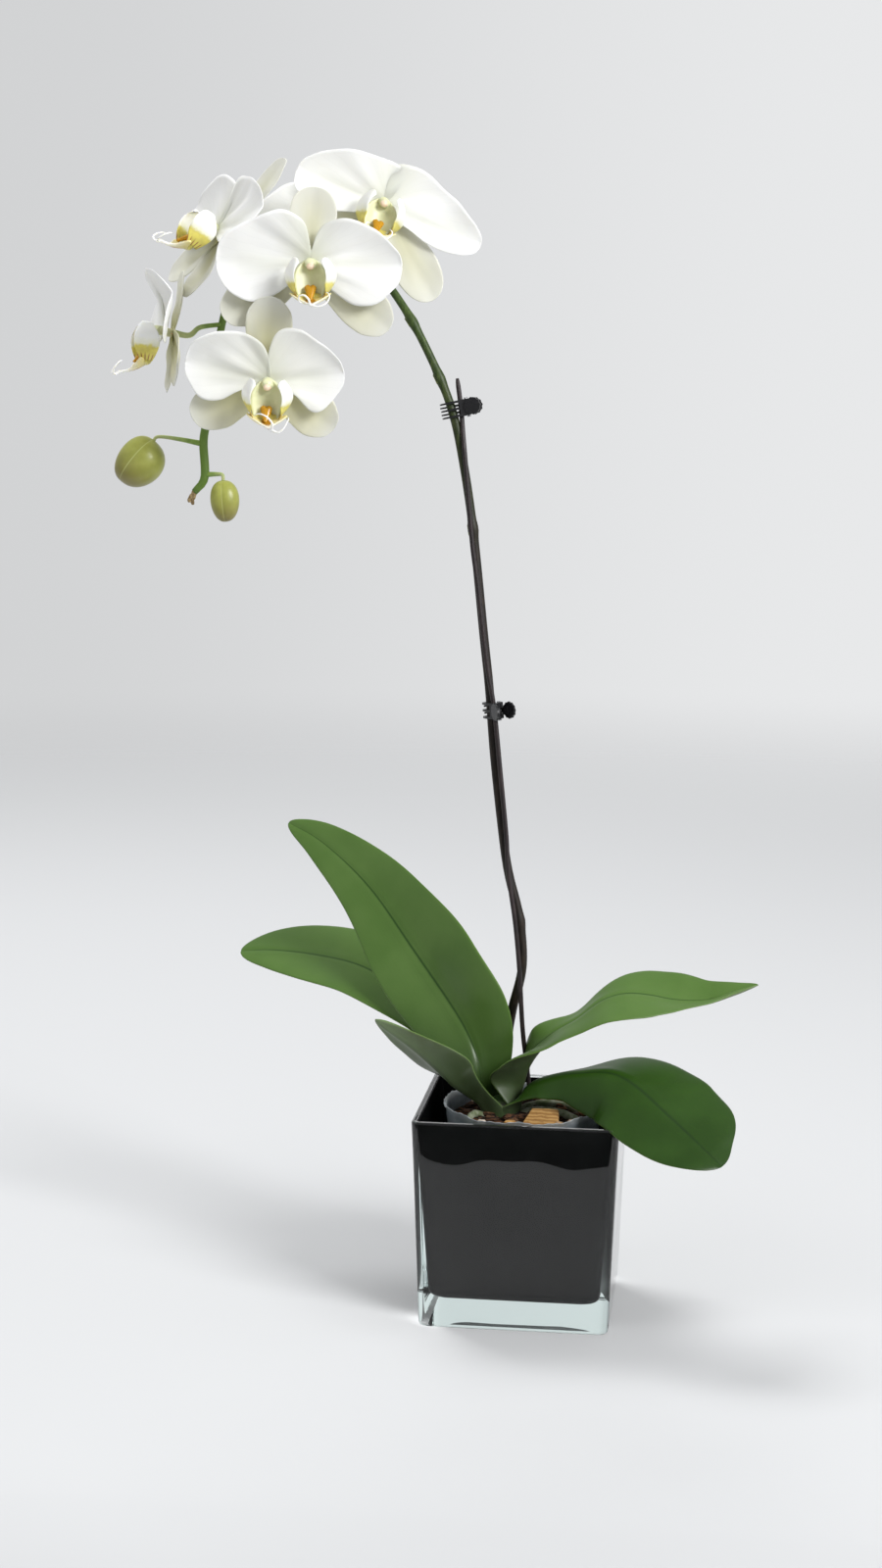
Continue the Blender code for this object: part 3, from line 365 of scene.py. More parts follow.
draw = np.random.default_rng(11)
bed_rows = [(1, POT_STAND + 1.2), (POT_FOOT - 1.6, POT_STAND + 1.2)]
bed_rows += [(pot_slope(z) - POT_WALL - 0.4, z) for z in np.linspace(POT_STAND + 4, BARK_BED, 8)]
bed_rows += [(36.0, BARK_BED + 0.6), (20.0, BARK_BED + 0.9), (2.0, BARK_BED + 1.0)]
angle = np.linspace(0, 2 * np.pi, 48, endpoint=False)
bed = np.array(bed_rows)[:, None, :] * np.ones((1, 48, 1))
bed = np.stack([bed[..., 0] * np.cos(angle), bed[..., 0] * np.sin(angle), bed[..., 1]], -1)
chips = [shell(bed, run=(0.12, 0, 0))]
for k in range(CHIP_COUNT):
    out = HEAP_RADIUS * math.sqrt((k + 0.5) / CHIP_COUNT)
    spot = np.array((out * math.cos(GOLDEN_TURN * k), out * math.sin(GOLDEN_TURN * k), 0.0))
    size = (draw.uniform(8, 15), draw.uniform(6, 10), draw.uniform(2.5, 5))
    chip = rounded_chip(size, 9, draw)
    spin, tilt, lean = draw.uniform(0, 2 * np.pi), draw.normal(0, 0.28), draw.normal(0, 0.28)
    height, tone = draw.uniform(CHIP_LOW, CHIP_HIGH) - 3.0 * (spot[0] < -26), draw.uniform(0, 1)
    if np.linalg.norm(spot[:2] - CROWN) < 11 or (abs(spot[0] - 12) < 13 and abs(spot[1] + 26) < 10):
        height = CHIP_SUNK
    chips.append(shell(turned(chip, spin, tilt, lean) + spot + (0, 0, height), run=(tone, 0, 0)))
add_piece("bark_heap", chips, [pine_bark()], ["bark_mix"], crease=35)


# Pale chips
# Split heartwood of the same pine: one broad flat chip at the front, with a few small ones and white
# crumbs of perlite round it. They lie loose on the bark.

def pale_heartwood():
    """Fresh split pine, matt and tan, with darker rings along the chip, 3 mm apart so that they show."""
    made, shader, add = new_material("split_pine_heartwood", {"Roughness": 0.75, "Specular IOR Level": 0.3})
    place = add("TexCoord").outputs["Object"]
    run = add("SeparateXYZ", add("Attribute", attribute_name="run").outputs[1])
    rings = add("TexWave", {"Vector": place, "Scale": 110.0, "Distortion": 3.0, "Detail": 3.0,
                            "Detail Scale": 2.0}, bands_direction="Y")
    specks = add("TexNoise", {"Vector": place, "Scale": 260.0, "Detail": 5.0})
    wood = add("Mix", (add("MapRange", (rings.outputs[1], 0.2, 0.9)), "#8A6536", "#A98450"))
    wood = add("Mix", (add("MapRange", (specks, 0.55, 0.8, 0, 0.7)), wood, "#6A4A2A"))
    bump = add("Bump", {"Height": rings.outputs[1], "Strength": 0.4, "Distance": 0.0003})
    feed(made, shader, {"Base Color": add("Mix", (run.outputs[0], wood, "#D8CFC2")), "Normal": bump})
    return made


# x, y, z of the middle in mm, length, width and thickness in mm, yaw in degrees and whiteness
PALE_BITS = (
    (-5, -31, 118.6, 9, 6, 2.4, 35, 0.0), (24, -31, 118.4, 8, 6, 3, -20, 0.15),
    (31, -26, 118.9, 7, 5, 3, 60, 0.55), (20, 30, 118.4, 11, 8, 3, 15, 0.1),
    (-22, -28, 117, 6, 5, 3, 10, 0.8), (38, 8, 118, 7, 6, 3, 80, 0.7), (-30, 20, 115.6, 7, 5, 3, 0, 0.6),
)
skewed = np.array(((-11, -7.5), (11, -7.5), (11, 7.5), (-5, 7.5)))
corners = np.concatenate([np.linspace(a, b, 7)[:-1] for a, b in zip(skewed, np.roll(skewed, -1, axis=0))])
corners = corners - 0.05 * corners * (np.abs(corners).sum(1, keepdims=True) > 17)
slab = np.stack([corners * s for s in (0.2, 0.9, 0.99, 1.0, 0.98, 0.9, 0.3)])
slab = lifted(slab, (-2.0, -2.0, -1.4, 0.2, 1.5, 2.0, 2.05))
slab = turned(slab, math.radians(4), 0.0, math.radians(24)) + (12, -24, 119.6)
slabs = [shell(slab)]
for x, y, z, length, width, thick, yaw, white in PALE_BITS:
    bit = turned(rounded_chip((length, width, thick), 8, draw), math.radians(yaw), 0.1, -0.1)
    slabs.append(shell(bit + (x, y, z), run=(white, 0, 0)))
add_piece("heartwood_chips", slabs, [pale_heartwood()], ["pale_chip"], crease=35)


# Crown and roots
# The orchid's short stem, ringed by the scars of old leaves, and four thick roots that run over the
# bark and dive into it. All one growth. The roots wear a spongy grey green skin over a green core.

CROWN_TOP = 126.4
# Points in mm along each root, and its radius in mm
ROOTS = (
    (((-13, 0, 106), (4, -5, 118), (22, -10, 119.5), (35, -15, 115), (36, -16, 103)), 2.8),
    (((-13, 0, 110), (4, 6, 119), (22, 6, 120), (34, 3, 115), (38, 2, 103)), 2.6),
    (((-13, 0, 108), (-22, 15, 118.5), (-18, 27, 118), (-6, 35, 113), (0, 36, 103)), 2.6),
    (((-13, 0, 106), (-26, -12, 117.5), (-31, -21, 115), (-30, -24, 103)), 2.4),
)


def spline(values, at):
    """Values read from a smooth curve through the given ones, which lie at even steps from 0 to 1. It
    is a cubic between each pair, whose slope at a value is half the difference of its neighbours."""
    v = np.asarray(values, float)
    v = v[:, None] if v.ndim == 1 else v
    last = len(v) - 1
    v = np.vstack([2 * v[0] - v[1], v, 2 * v[-1] - v[-2]])
    place = np.clip(np.asarray(at, float), 0, 1) * last
    k = np.minimum(place.astype(int), last - 1)
    t = (place - k)[:, None]
    a, b, c, d = v[k], v[k + 1], v[k + 2], v[k + 3]
    return 0.5 * (2 * b + (c - a) * t + (2 * a - 5 * b + 4 * c - d) * t**2 + (3 * b - a - 3 * c + d) * t**3)


def path_through(points, count):
    """Smooth line through the points, read at even lengths along itself."""
    fine = spline(points, np.linspace(0, 1, 24 * (len(points) - 1) + 1))
    run = np.concatenate([[0], np.cumsum(np.linalg.norm(np.diff(fine[:, :3], axis=0), axis=1))])
    at = np.linspace(0, run[-1], count)
    return np.stack([np.interp(at, run, fine[:, k]) for k in range(fine.shape[1])], axis=1)


def unit(vectors):
    """Vectors brought to length one."""
    return vectors / np.linalg.norm(vectors, axis=-1, keepdims=True)


def tube(path, radius, sides=14, ribs=None):
    """Rings of a round rod: a circle across the path at each station. Its first spoke is the last one
    less its share along the new direction, so that the rod never twists. ribs scales each spoke."""
    ahead = unit(np.gradient(path, axis=0))
    spoke, spokes = np.cross(ahead[0], (0.31, 0.52, 0.79)), []
    for direction in ahead:
        spoke = unit(spoke - direction * (spoke @ direction))
        spokes.append(spoke)
    spokes = np.array(spokes)[:, None]
    across = np.cross(ahead[:, None], spokes)
    turn = np.linspace(0, 2 * np.pi, sides, endpoint=False)[:, None]
    reach = np.broadcast_to(radius, len(path))[:, None] * np.ones((1, sides))
    reach = reach if ribs is None else reach * ribs
    return path[:, None] + reach[..., None] * (np.cos(turn) * spokes + np.sin(turn) * across)


def run_along(rings, last=1.0):
    """Values for a rod's points: how far along it, up to the last, then how far round it, up to 1."""
    count, around = rings.shape[:2]
    along = np.linspace(0.0, last, count)[:, None] * np.ones((1, around))
    turn = np.linspace(0, 1, around)[None] * np.ones((count, 1))
    return np.stack([along, turn, np.zeros_like(turn)], -1)


def root_skin():
    """Dry velamen: matt, spongy and silver grey, with green where it is thin and brown where it meets
    the bark. Its blotches are about 4 mm long."""
    made, shader, add = new_material("orchid_root_velamen", {"Roughness": 0.8, "Specular IOR Level": 0.3})
    place = add("TexCoord").outputs["Object"]
    height = add("SeparateXYZ", place).outputs[2]
    blotch = add("TexNoise", {"Vector": place, "Scale": 260.0, "Detail": 5.0})
    skin = add("Mix", (add("MapRange", (blotch, 0.35, 0.65)), "#5C6648", "#8B8F7C"))
    skin = add("Mix", (add("MapRange", (height, 0.112, 0.117)), "#3A2E22", skin))
    skin = add("Mix", (add("MapRange", (height, 0.1225, 0.125)), skin, "#2F4A1E"))
    bump = add("Bump", {"Height": blotch, "Strength": 0.5, "Distance": 0.0004})
    feed(made, shader, {"Base Color": skin, "Normal": bump})
    return made


stem = path_through(((-13, 0, 92), (-13, 0, 110), (-13, 0.3, 126)), 60)
scars = 6.9 + 0.5 * np.abs(np.sin(np.pi * stem[:, 2] / 3.6)) + 0.3 * np.clip((stem[:, 2] - 110) / 10, 0, 1)
scars *= np.sqrt(np.clip((CROWN_TOP - stem[:, 2]) / 3.0, 0.02, 1))
growth = [shell(tube(stem, scars, 28))]
for points, radius in ROOTS:
    path = path_through(points, 70)
    along = np.linspace(0, 1, 70)
    knots = 1 + 0.05 * np.sin(23 * along + radius * 9) + 0.03 * np.sin(51 * along)
    growth.append(shell(tube(path, radius * (1 - 0.2 * along) * knots, 14)))
add_piece("crown_roots", growth, [root_skin()], ["crown_and_roots"])


# Leaves
# Five thick strap leaves that clasp the crown. Each is a fleshy blade, keeled below along its midrib
# and grooved above it, with a waxy skin and a thin edge painted yellow green as light through it.
# Each leaf grows on its own.

SHEATH_TOP, SHEATH_BLEND, SHEATH_SPREAD = 137, 17, 75
# Radius of the sheath, half widths to the right and left of the midrib, the midrib itself, all in mm,
# and roll and fold in degrees. Each runs in even steps from base to tip.
LEAVES = (
    dict(name="leaf_upright", clasp=8.4,
         right=(6, 21, 37, 40, 36, 29, 23, 18.5, 14), left=(6, 13, 27, 31, 29.5, 24.5, 20.5, 17, 13),
         roll=(0, -72, -72, -64, -60), fold=(6, 20, 18, 12, 8),
         midrib=((-24.7, -1, 118), (-25.8, -1, 130), (-28.5, 1, 149), (-40, 9, 171), (-70, 27, 207),
                 (-99, 42, 241), (-129, 54, 265), (-153, 61, 277))),
    dict(name="leaf_back", clasp=10.0,
         right=(6, 12, 18, 23, 27, 30, 32, 31, 24), left=(6, 11, 17, 22.5, 27, 28, 26.5, 24, 20),
         roll=(-10, -21, -24, -28, -32), fold=(15, 20, 12, 8, 5),
         midrib=((-23.5, 8.5, 118), (-26.5, 11.5, 129), (-36, 18, 143), (-49, 27, 154), (-68, 38, 168),
                 (-91, 51, 182), (-111, 60, 189), (-137, 68, 192), (-162, 73, 193), (-186, 75, 192))),
    dict(name="leaf_low", clasp=11.0,
         right=(6, 12, 18, 22, 21, 18, 14.5, 10, 6), left=(6, 13, 19, 22, 20, 16, 12, 9, 5),
         roll=(10, 28, 35, 38, 40), fold=(15, 30, 20, 14, 10),
         midrib=((-23.2, -9.8, 117), (-30.5, -13.6, 126), (-42, -14.5, 138), (-62, -21, 158),
                 (-85, -30, 177))),
    dict(name="leaf_right", clasp=9.2,
         right=(8, 24, 24, 19, 25, 25, 17, 8, 4), left=(8, 15, 15, 12.5, 14, 24, 26.5, 19, 7),
         roll=(0, 22, 8, 23, 18, 9), fold=(20, 34, 4, 8, 26, 28),
         midrib=((-3.5, 1.5, 118), (-2.5, 1.5, 131), (1.5, -2.5, 146), (9, -6, 158), (19, -6, 167),
                 (32, -5, 175), (46, -3, 186), (59, 0, 190), (73, 3, 189), (88, 6, 186), (107, 9, 186),
                 (123, 12, 191), (136.8, 14, 196))),
    dict(name="leaf_front", clasp=10.5,
         right=(6, 11, 15, 25.5, 30, 31.5, 33, 32, 24), left=(6, 10, 15, 22, 32, 36.8, 40.5, 41, 32),
         roll=(5, 26, 33, 26, 23, 20), fold=(12, -26, -23, -8, 0, 4),
         midrib=((-2.6, -10, 118), (0.8, -11, 128), (8, -11, 137), (22, -15, 143), (34, -20, 146),
                 (50, -27, 149), (62, -33, 147), (74, -42, 141), (85, -52, 134), (97, -61, 126),
                 (110, -71, 117), (119, -76.5, 111))),
)


def blade(grid, wall):
    """Rings round a thin blade: its front row at each station, then its back row the other way. Each
    is the grid moved by half the wall along the blade's normal, the cross product of its slopes."""
    normal = unit(np.cross(np.gradient(grid, axis=0), np.gradient(grid, axis=1)))
    offset = normal * wall[..., None] / 2
    return np.concatenate([grid + offset, (grid - offset)[:, ::-1]], axis=1)


def blade_run(across, along, shape):
    """Values for a blade's points: across from -1 to 1, along from 0 to 1, and 1 on its back."""
    across, along = np.broadcast_to(across, shape), np.broadcast_to(along, shape)
    front = np.stack([across, along, np.zeros(shape)], -1)
    back = np.stack([across, along, np.ones(shape)], -1)[:, ::-1]
    return np.concatenate([front, back], axis=1)


def ramp_up(share):
    """Smooth step of a share from 0 to 1, held at both ends."""
    share = np.clip(share, 0, 1)
    return share * share * (3 - 2 * share)


def leaf_grid(leaf, along=110, across=31):
    """Surface of a leaf. At each step the blade lies to either side of the midrib, rolled about it and
    folded along it, sinks a little towards its edges, dips in a groove at the midrib, and ripples
    slowly near its edges. Its half width is a smooth curve that closes as a round end at the tip. Its
    lowest rows blend into a sheath, an arc of 150 degrees that clasps the crown.
    """
    u = (1 - np.cos(np.linspace(0, 0.984 * np.pi, along))) / 2
    v = np.sin(np.linspace(-np.pi / 2, np.pi / 2, across)) * 0.5 + np.linspace(-0.5, 0.5, across)
    path = path_through(leaf["midrib"], 121)
    station = np.linspace(0, 1, 121)
    spot = np.stack([np.interp(u, station, path[:, k]) for k in range(3)], 1)
    slope = np.gradient(path, axis=0)
    ahead = unit(np.stack([np.interp(u, station, slope[:, k]) for k in range(3)], 1))
    level = unit(np.cross(ahead, (0, 0, 1)))
    roll, fold = (np.radians(spline(leaf[key], u)) for key in ("roll", "fold"))
    side = level * np.cos(roll) + np.cross(ahead, level) * np.sin(roll)
    above = np.cross(side, ahead)
    closing = np.sqrt(np.clip(1 - u**6, 0.0001, 1))[:, None]
    half = np.where(v[None] > 0, spline(leaf["right"], u), spline(leaf["left"], u)) * closing
    crease = np.sqrt(v * v + 0.006) - 0.0775
    reach = half * v * np.cos(fold)
    ripple = 0.5 * np.sin(9 * u[:, None] + 2 * v) * v**2 * np.sin(np.pi * u[:, None])
    groove = -0.9 * np.exp(-(v * half / 1.5) ** 2) * np.clip(u[:, None] * 6, 0, 1) * (1 - 0.6 * u[:, None])
    height = half * (crease * np.sin(fold) - 0.10 * v * v) + ripple + groove
    grid = spot[:, None] + side[:, None] * reach[..., None] + above[:, None] * height[..., None]
    hold = ramp_up((SHEATH_TOP - spot[:, 2:]) / SHEATH_BLEND) * (u[:, None] < 0.3)
    first = np.array(leaf["midrib"][0]) - (*CROWN, 0)
    turn = np.arctan2(first[1], first[0]) - np.radians(SHEATH_SPREAD) * v[None]
    sheath = np.stack([CROWN[0] + leaf["clasp"] * np.cos(turn), CROWN[1] + leaf["clasp"] * np.sin(turn),
                       np.zeros_like(turn)], -1) + spot[:, None] * (0, 0, 1) - (0, 0, 6)
    grid = grid + hold[..., None] * (sheath - grid)
    keel = 2.4 * (1 - hold) * np.exp(-(v * half / 5.0) ** 2) * (1 - 0.65 * u[:, None])
    edge = np.sqrt(np.clip(1 - v**6, 0.0, 1))
    wall = (0.45 + 1.25 * edge + keel * edge) * np.sqrt(np.clip((1 - u[:, None]) * 14, 0.08, 1))
    return grid, wall, blade_run(v[None], u[:, None], grid.shape[:2]) * (1, 1, -1) + (0, 0, 1)


def waxy_leaf(name, deep, fresh):
    """Orchid leaf: fleshy, under a smooth wax that gives a broad soft gloss. Green above with slow mottling
    and long faint veins 2 to 3 mm apart, and paler and greyer below. Painted shade darkens a narrow line
    along the midrib's groove, and darkens the leaf to nearly black green low down by the crown; a
    painted glow of light through the leaf makes its thin edge yellow green. The run's third value is 1
    below."""
    made, shader, add = new_material(name, {"Roughness": 0.36, "IOR": 1.42, "Specular IOR Level": 0.42,
                                            "Subsurface Weight": 0.06, "Subsurface Scale": 0.0015,
                                            "Subsurface Radius": (0.4, 1.0, 0.2)})
    place = add("TexCoord").outputs["Object"]
    run = add("SeparateXYZ", add("Attribute", attribute_name="run").outputs[1])
    across, below = run.outputs[0], run.outputs[2]
    off = add("Math", across, operation="ABSOLUTE")
    mottle = add("TexNoise", {"Vector": place, "Scale": 38.0, "Detail": 4.0})
    fine = add("TexNoise", {"Vector": place, "Scale": 900.0, "Detail": 3.0})
    bent = add("Math", (off, add("Math", (mottle, 0.06))), operation="ADD")
    veins = add("Math", add("Math", (bent, 78.0)), operation="SINE")
    upper = add("Mix", (add("MapRange", (mottle, 0.2, 0.8)), deep, fresh))
    upper = add("Mix", (add("MapRange", (veins, 0.2, 1.0, 0, 0.03)), upper, "#457327"))
    # Painted shade: a narrow dark green line in the midrib's groove.
    upper = add("Mix", (add("MapRange", (off, 0.05, 0.0, 0, 0.8)), upper, "#16360A"))
    lower = add("Mix", (add("MapRange", (mottle, 0.3, 0.7)), "#56653F", "#667656"))
    leaf = add("Mix", (add("MapRange", (below, 0.35, 0.65)), upper, lower))
    low = add("SeparateXYZ", place).outputs[2]
    # Painted shade: nearly black green low down by the crown, where the leaves shade each other.
    leaf = add("Mix", (add("MapRange", (low, 0.185, 0.130, 0, 0.65)), leaf, "#16280B"))
    # Painted light: a yellow green line along the thin edge, standing for light through it.
    leaf = add("Mix", (add("MapRange", (off, 0.98, 1.0, 0, 0.3)), leaf, "#6A8834"))
    fine = add("Math", (fine, 0.5))
    height = add("Math", (add("Math", (veins, 0.05)), fine), operation="ADD")
    bump = add("Bump", {"Height": height, "Strength": 0.22, "Distance": 0.00025})
    dull = add("MapRange", (mottle, 0.3, 0.7, 0.32, 0.44))
    feed(made, shader, {"Base Color": leaf, "Roughness": dull, "Normal": bump})
    return made


# The grey in these greens is partly the leaf's own colour and partly painted sheen of its wax.
leaf_skin = waxy_leaf("waxy_orchid_leaf", "#46632A", "#4F6B32")
# A darker, more saturated copy for the front leaf: painted shade, as it bends forwards and down away from
# the light.
shaded_leaf_skin = waxy_leaf("waxy_orchid_leaf_painted_shade", "#294C08", "#365F0D")
for leaf in LEAVES:
    grid, wall, run = leaf_grid(leaf)
    finish = shaded_leaf_skin if leaf["name"] == "leaf_front" else leaf_skin
    add_piece(leaf["name"] + "_blade", [shell(blade(grid, wall), run)], [finish],
              [leaf["name"]])


# Flower spike
# One arching stem that leaves the crown between the leaves, brown and hard below and green above. It
# has a swollen node with a dry scale leaf at each joint, and a stalk to each bloom and bud.

# x, y, z in mm and radius as a share of the stem's own
SPIKE = (
    (-12, 3.5, 127.1, 1.25), (-12, 4, 132, 1.2), (-11.5, 10, 146, 1.15), (-11, 12, 160, 1.1),
    (-8, 9, 178, 1.08), (-2, 1, 205, 1.05), (-4.2, 0, 234, 1.1), (-10.8, 0, 261, 1.03),
    (-14.5, 0, 284, 1.0), (-20, 0, 330, 1.0), (-23.5, 0, 370, 1.0), (-27, 0, 400, 1.0),
    (-34, 0, 462, 0.98), (-41, 0, 505, 0.98), (-47, 0, 530, 0.97), (-56, 1, 552, 0.92),
    (-71, 6, 580, 0.9), (-86, 13, 601, 0.88), (-99, 20, 617, 0.85), (-118, 26, 632, 0.8),
    (-142, 28, 638, 0.78), (-160, 26, 632, 0.78), (-172, 22, 618, 0.8), (-180, 17, 597, 0.82),
    (-186, 12, 568, 0.85), (-189.5, 8, 543, 0.9), (-192, 5, 521, 0.92), (-193.6, 5, 509.5, 0.96),
    (-193, 5, 489.5, 0.95), (-199, 5, 481, 0.78),
)
STEM_RADIUS, STALK_RADIUS = 2.6, 1.35
STALK_SIDES, SIDE_TURN = 15, 0.4189
OVARY_DEPTH = 4.2
ARCH_TOP = -120
NODE_HEIGHTS = (232.0, 462.0, 548.0, 580.0)

# Blooms: middle, facing direction, direction of the top sepal, and the stalk's root and bend, in mm.
# A sepal or petal has its angle in degrees and its length. Cup and slope bend the petals forwards.
BLOOMS = (
    dict(name="bloom_1", middle=(-89.6, 12, 646.3), facing=(0.25, -0.95, 0.12), top=(0.29, 0.1, 0.95),
         root=(-99, 20, 617), bend=(-88, 25, 636), top_sepal=(95, 25), low_sepals=((-43, 61), (-142, 46)),
         petals=((-4, 61), (177, 53))),
    dict(name="bloom_2", middle=(-123, -37, 610.6), facing=(0.14, -0.98, -0.06), top=(0, -0.05, 1),
         root=(-130, 27, 635), bend=(-137, 6, 622), top_sepal=(87, 42), low_sepals=((-40, 57), (-149, 58)),
         petals=((-2, 51), (180, 53))),
    dict(name="bloom_3", middle=(-147, -38, 545), facing=(0.13, -0.97, -0.18), top=(0.07, -0.15, 1),
         root=(-186, 12, 568), bend=(-160, 2, 556), top_sepal=(92, 47), low_sepals=((-34, 46), (-150, 49)),
         petals=((8, 43), (170, 48))),
    dict(name="bloom_4", middle=(-185, 7, 631), facing=(-0.64, -0.50, 0.58), top=(0.51, 0.29, 0.81),
         root=(-160, 26, 632), bend=(-167, 22, 630), top_sepal=(80, 57), low_sepals=((-84, 43), (-145, 50)),
         petals=((20, 47), (163, 50)), cup=7.0, slope=0.06),
    dict(name="bloom_5", middle=(-213, -4, 573), facing=(-0.94, -0.32, 0.13), top=(0.22, 0.15, 0.96),
         root=(-184, 13, 578), bend=(-196, 8, 576), top_sepal=(90, 36), low_sepals=((-40, 43), (-112, 35)),
         petals=((24, 44), (150, 44)), cup=12.0, slope=0.10),
    dict(name="bloom_6", middle=(-125, 52, 634), facing=(-0.30, 0.93, 0.20), top=(0.0, -0.2, 1),
         root=(-142, 28, 638), bend=(-130, 40, 640), top_sepal=(90, 40), low_sepals=((-42, 46), (-138, 46)),
         petals=((4, 50), (176, 50))),
)
# Buds: base and tip, width at the widest, and the stalk's root and bend, in mm
BUDS = (
    dict(name="bud_large", base=(-222, 2, 510.5), tip=(-241.5, -2, 487), width=27.8, lobe=0.15,
         root=(-192.3, 5, 508.6), bend=(-208, 5, 511.5)),
    dict(name="bud_small", base=(-181.5, 2, 488), tip=(-179.5, 0, 464), width=17.5, lobe=0.06,
         root=(-194, 5, 491), bend=(-185.5, 4, 491.5)),
)


def scale_leaf(root, ahead, away, length, half):
    """Dry scale at a node: a short pointed blade that lies on the stem and lifts a little at its tip."""
    u, v = np.linspace(0, 0.98, 16)[:, None], np.linspace(-1, 1, 9)[None]
    width = half * np.cos(np.pi / 2 * u) ** 0.8 + 0.05
    side = np.cross(ahead, away)
    wrap = v * width / 3.0
    grid = (np.array(root) + ahead * (length * u)[..., None] + side * (2.8 * np.sin(wrap))[..., None]
            + away * (2.9 * np.cos(wrap) + 0.15 * u**3)[..., None])
    return shell(blade(grid, np.full(grid.shape[:2], 0.5)), blade_run(v, u, grid.shape[:2]), 1)


def stalk_skin():
    """Stalk of a bloom or bud: smooth and fresh green, paler towards its flower."""
    made, shader, add = new_material("orchid_stalk_skin", {"Roughness": 0.4, "Subsurface Weight": 0.15,
                                                           "Subsurface Scale": 0.001})
    place = add("TexCoord").outputs["Object"]
    run = add("SeparateXYZ", add("Attribute", attribute_name="run").outputs[1])
    soft = add("TexNoise", {"Vector": place, "Scale": 250.0, "Detail": 3.0})
    skin = add("Mix", (add("MapRange", (soft, 0.3, 0.7)), "#64802F", "#7F9A47"))
    skin = add("Mix", (add("MapRange", (run.outputs[0], 0.15, 0.9)), skin, "#B9C187"))
    feed(made, shader, {"Base Color": skin})
    return made


def spike_skin():
    """Smooth living stem with a light wax: green at the crown, brown and nearly black up to the upper
    clip, then olive, and fresh green to its far end, with short streaks along it."""
    made, shader, add = new_material("orchid_stem_skin", {"Roughness": 0.48, "IOR": 1.42})
    place = add("TexCoord").outputs["Object"]
    height = add("SeparateXYZ", place).outputs[2]
    long = add("Mapping", {"Vector": place, "Scale": (1, 1, 0.15)})
    streak = add("TexNoise", {"Vector": long, "Scale": 700.0, "Detail": 4.0})
    wide = add("TexNoise", {"Vector": place, "Scale": 60.0, "Detail": 2.0})
    low = add("Mix", (add("MapRange", (streak, 0.35, 0.7)), "#16120E", "#2B221A"))
    high = add("Mix", (add("MapRange", (streak, 0.4, 0.75)), "#33471A", "#4E632A"))
    left = add("SeparateXYZ", place).outputs[0]
    level = add("Math", (height, add("MapRange", (left, -0.09, -0.13, 0, 0.2))), operation="ADD")
    level = add("Math", (level, add("Math", (wide, 0.06))), operation="ADD")
    skin = add("Mix", (add("MapRange", (level, 0.46, 0.66)), low, high))
    skin = add("Mix", (add("MapRange", (left, -0.13, -0.19, 0, 0.65)), skin, "#6C8A3A"))
    skin = add("Mix", (add("MapRange", (height, 0.150, 0.125)), skin, "#4A6A28"))
    bump = add("Bump", {"Height": streak, "Strength": 0.12, "Distance": 0.0002})
    feed(made, shader, {"Base Color": skin, "Normal": bump})
    return made


def dry_tissue(name, low, high):
    """Papery dead tissue, matt, with darker veins 2 mm apart."""
    made, shader, add = new_material(name, {"Roughness": 0.75, "Specular IOR Level": 0.3})
    place = add("TexCoord").outputs["Object"]
    vein = add("TexNoise", {"Vector": place, "Scale": 600.0, "Detail": 5.0})
    feed(made, shader, {"Base Color": add("Mix", (add("MapRange", (vein, 0.35, 0.7)), low, high))})
    return made


stem_line = path_through(SPIKE, 260)
rising = stem_line[:, 0] > ARCH_TOP
swelling = sum(np.exp(-((stem_line[:, 2] - height) / 4) ** 2) * rising for height in NODE_HEIGHTS)
stem_radius = stem_line[:, 3] * STEM_RADIUS + 0.7 * swelling
stalks = [shell(tube(stem_line[:, :3], stem_radius, 16))]
flutes = 1 + 0.06 * np.cos(3 * np.arange(STALK_SIDES) * SIDE_TURN)[None]
for bloom in BLOOMS:
    facing = unit(np.array(bloom["facing"], float))
    back = np.array(bloom["middle"]) - facing * OVARY_DEPTH
    line = path_through((bloom["root"], bloom["bend"], back - facing * 9, back), 30)
    rise = np.linspace(0, 1, 30)
    rod = tube(line, STALK_RADIUS * (1 + 0.4 * rise**2), STALK_SIDES, flutes)
    stalks.append(shell(rod, run_along(rod), 2))
    ahead = unit(line[2] - line[0])
    stalks.append(scale_leaf(line[0] - ahead, ahead, unit(np.cross(ahead, (0.2, 0.9, 0.3))), 4.2, 2.0))
for bud in BUDS:
    axis = unit(np.array(bud["tip"], float) - bud["base"])
    line = path_through((bud["root"], bud["bend"], bud["base"] - axis * 3.0, bud["base"] + axis * 1.5), 30)
    rod = tube(line, 0.95 + 0.9 * (1 - np.linspace(0, 1, 30)) ** 1.5, STALK_SIDES)
    stalks.append(shell(rod, run_along(rod, 0.9), 2))
for height in NODE_HEIGHTS:
    at = int(np.argmin(np.abs(stem_line[:, 2] - height) + 1000 * ~rising))
    ahead = unit(stem_line[at + 2, :3] - stem_line[at, :3])
    away = unit(np.cross(ahead, (0.25, 1, 0.1)))
    stalks.append(scale_leaf(stem_line[at, :3] - ahead * 2, ahead, away, 6.0, 3.0))
stem_finishes = [spike_skin(), dry_tissue("dry_scale_leaf", "#5C6430", "#838A4C"), stalk_skin()]
add_piece("spike_stem", stalks, stem_finishes, ["flower_spike"])


# Dried tip
# The end of the spike, which stopped growing and withered to two short crooked flaps of brown tissue.

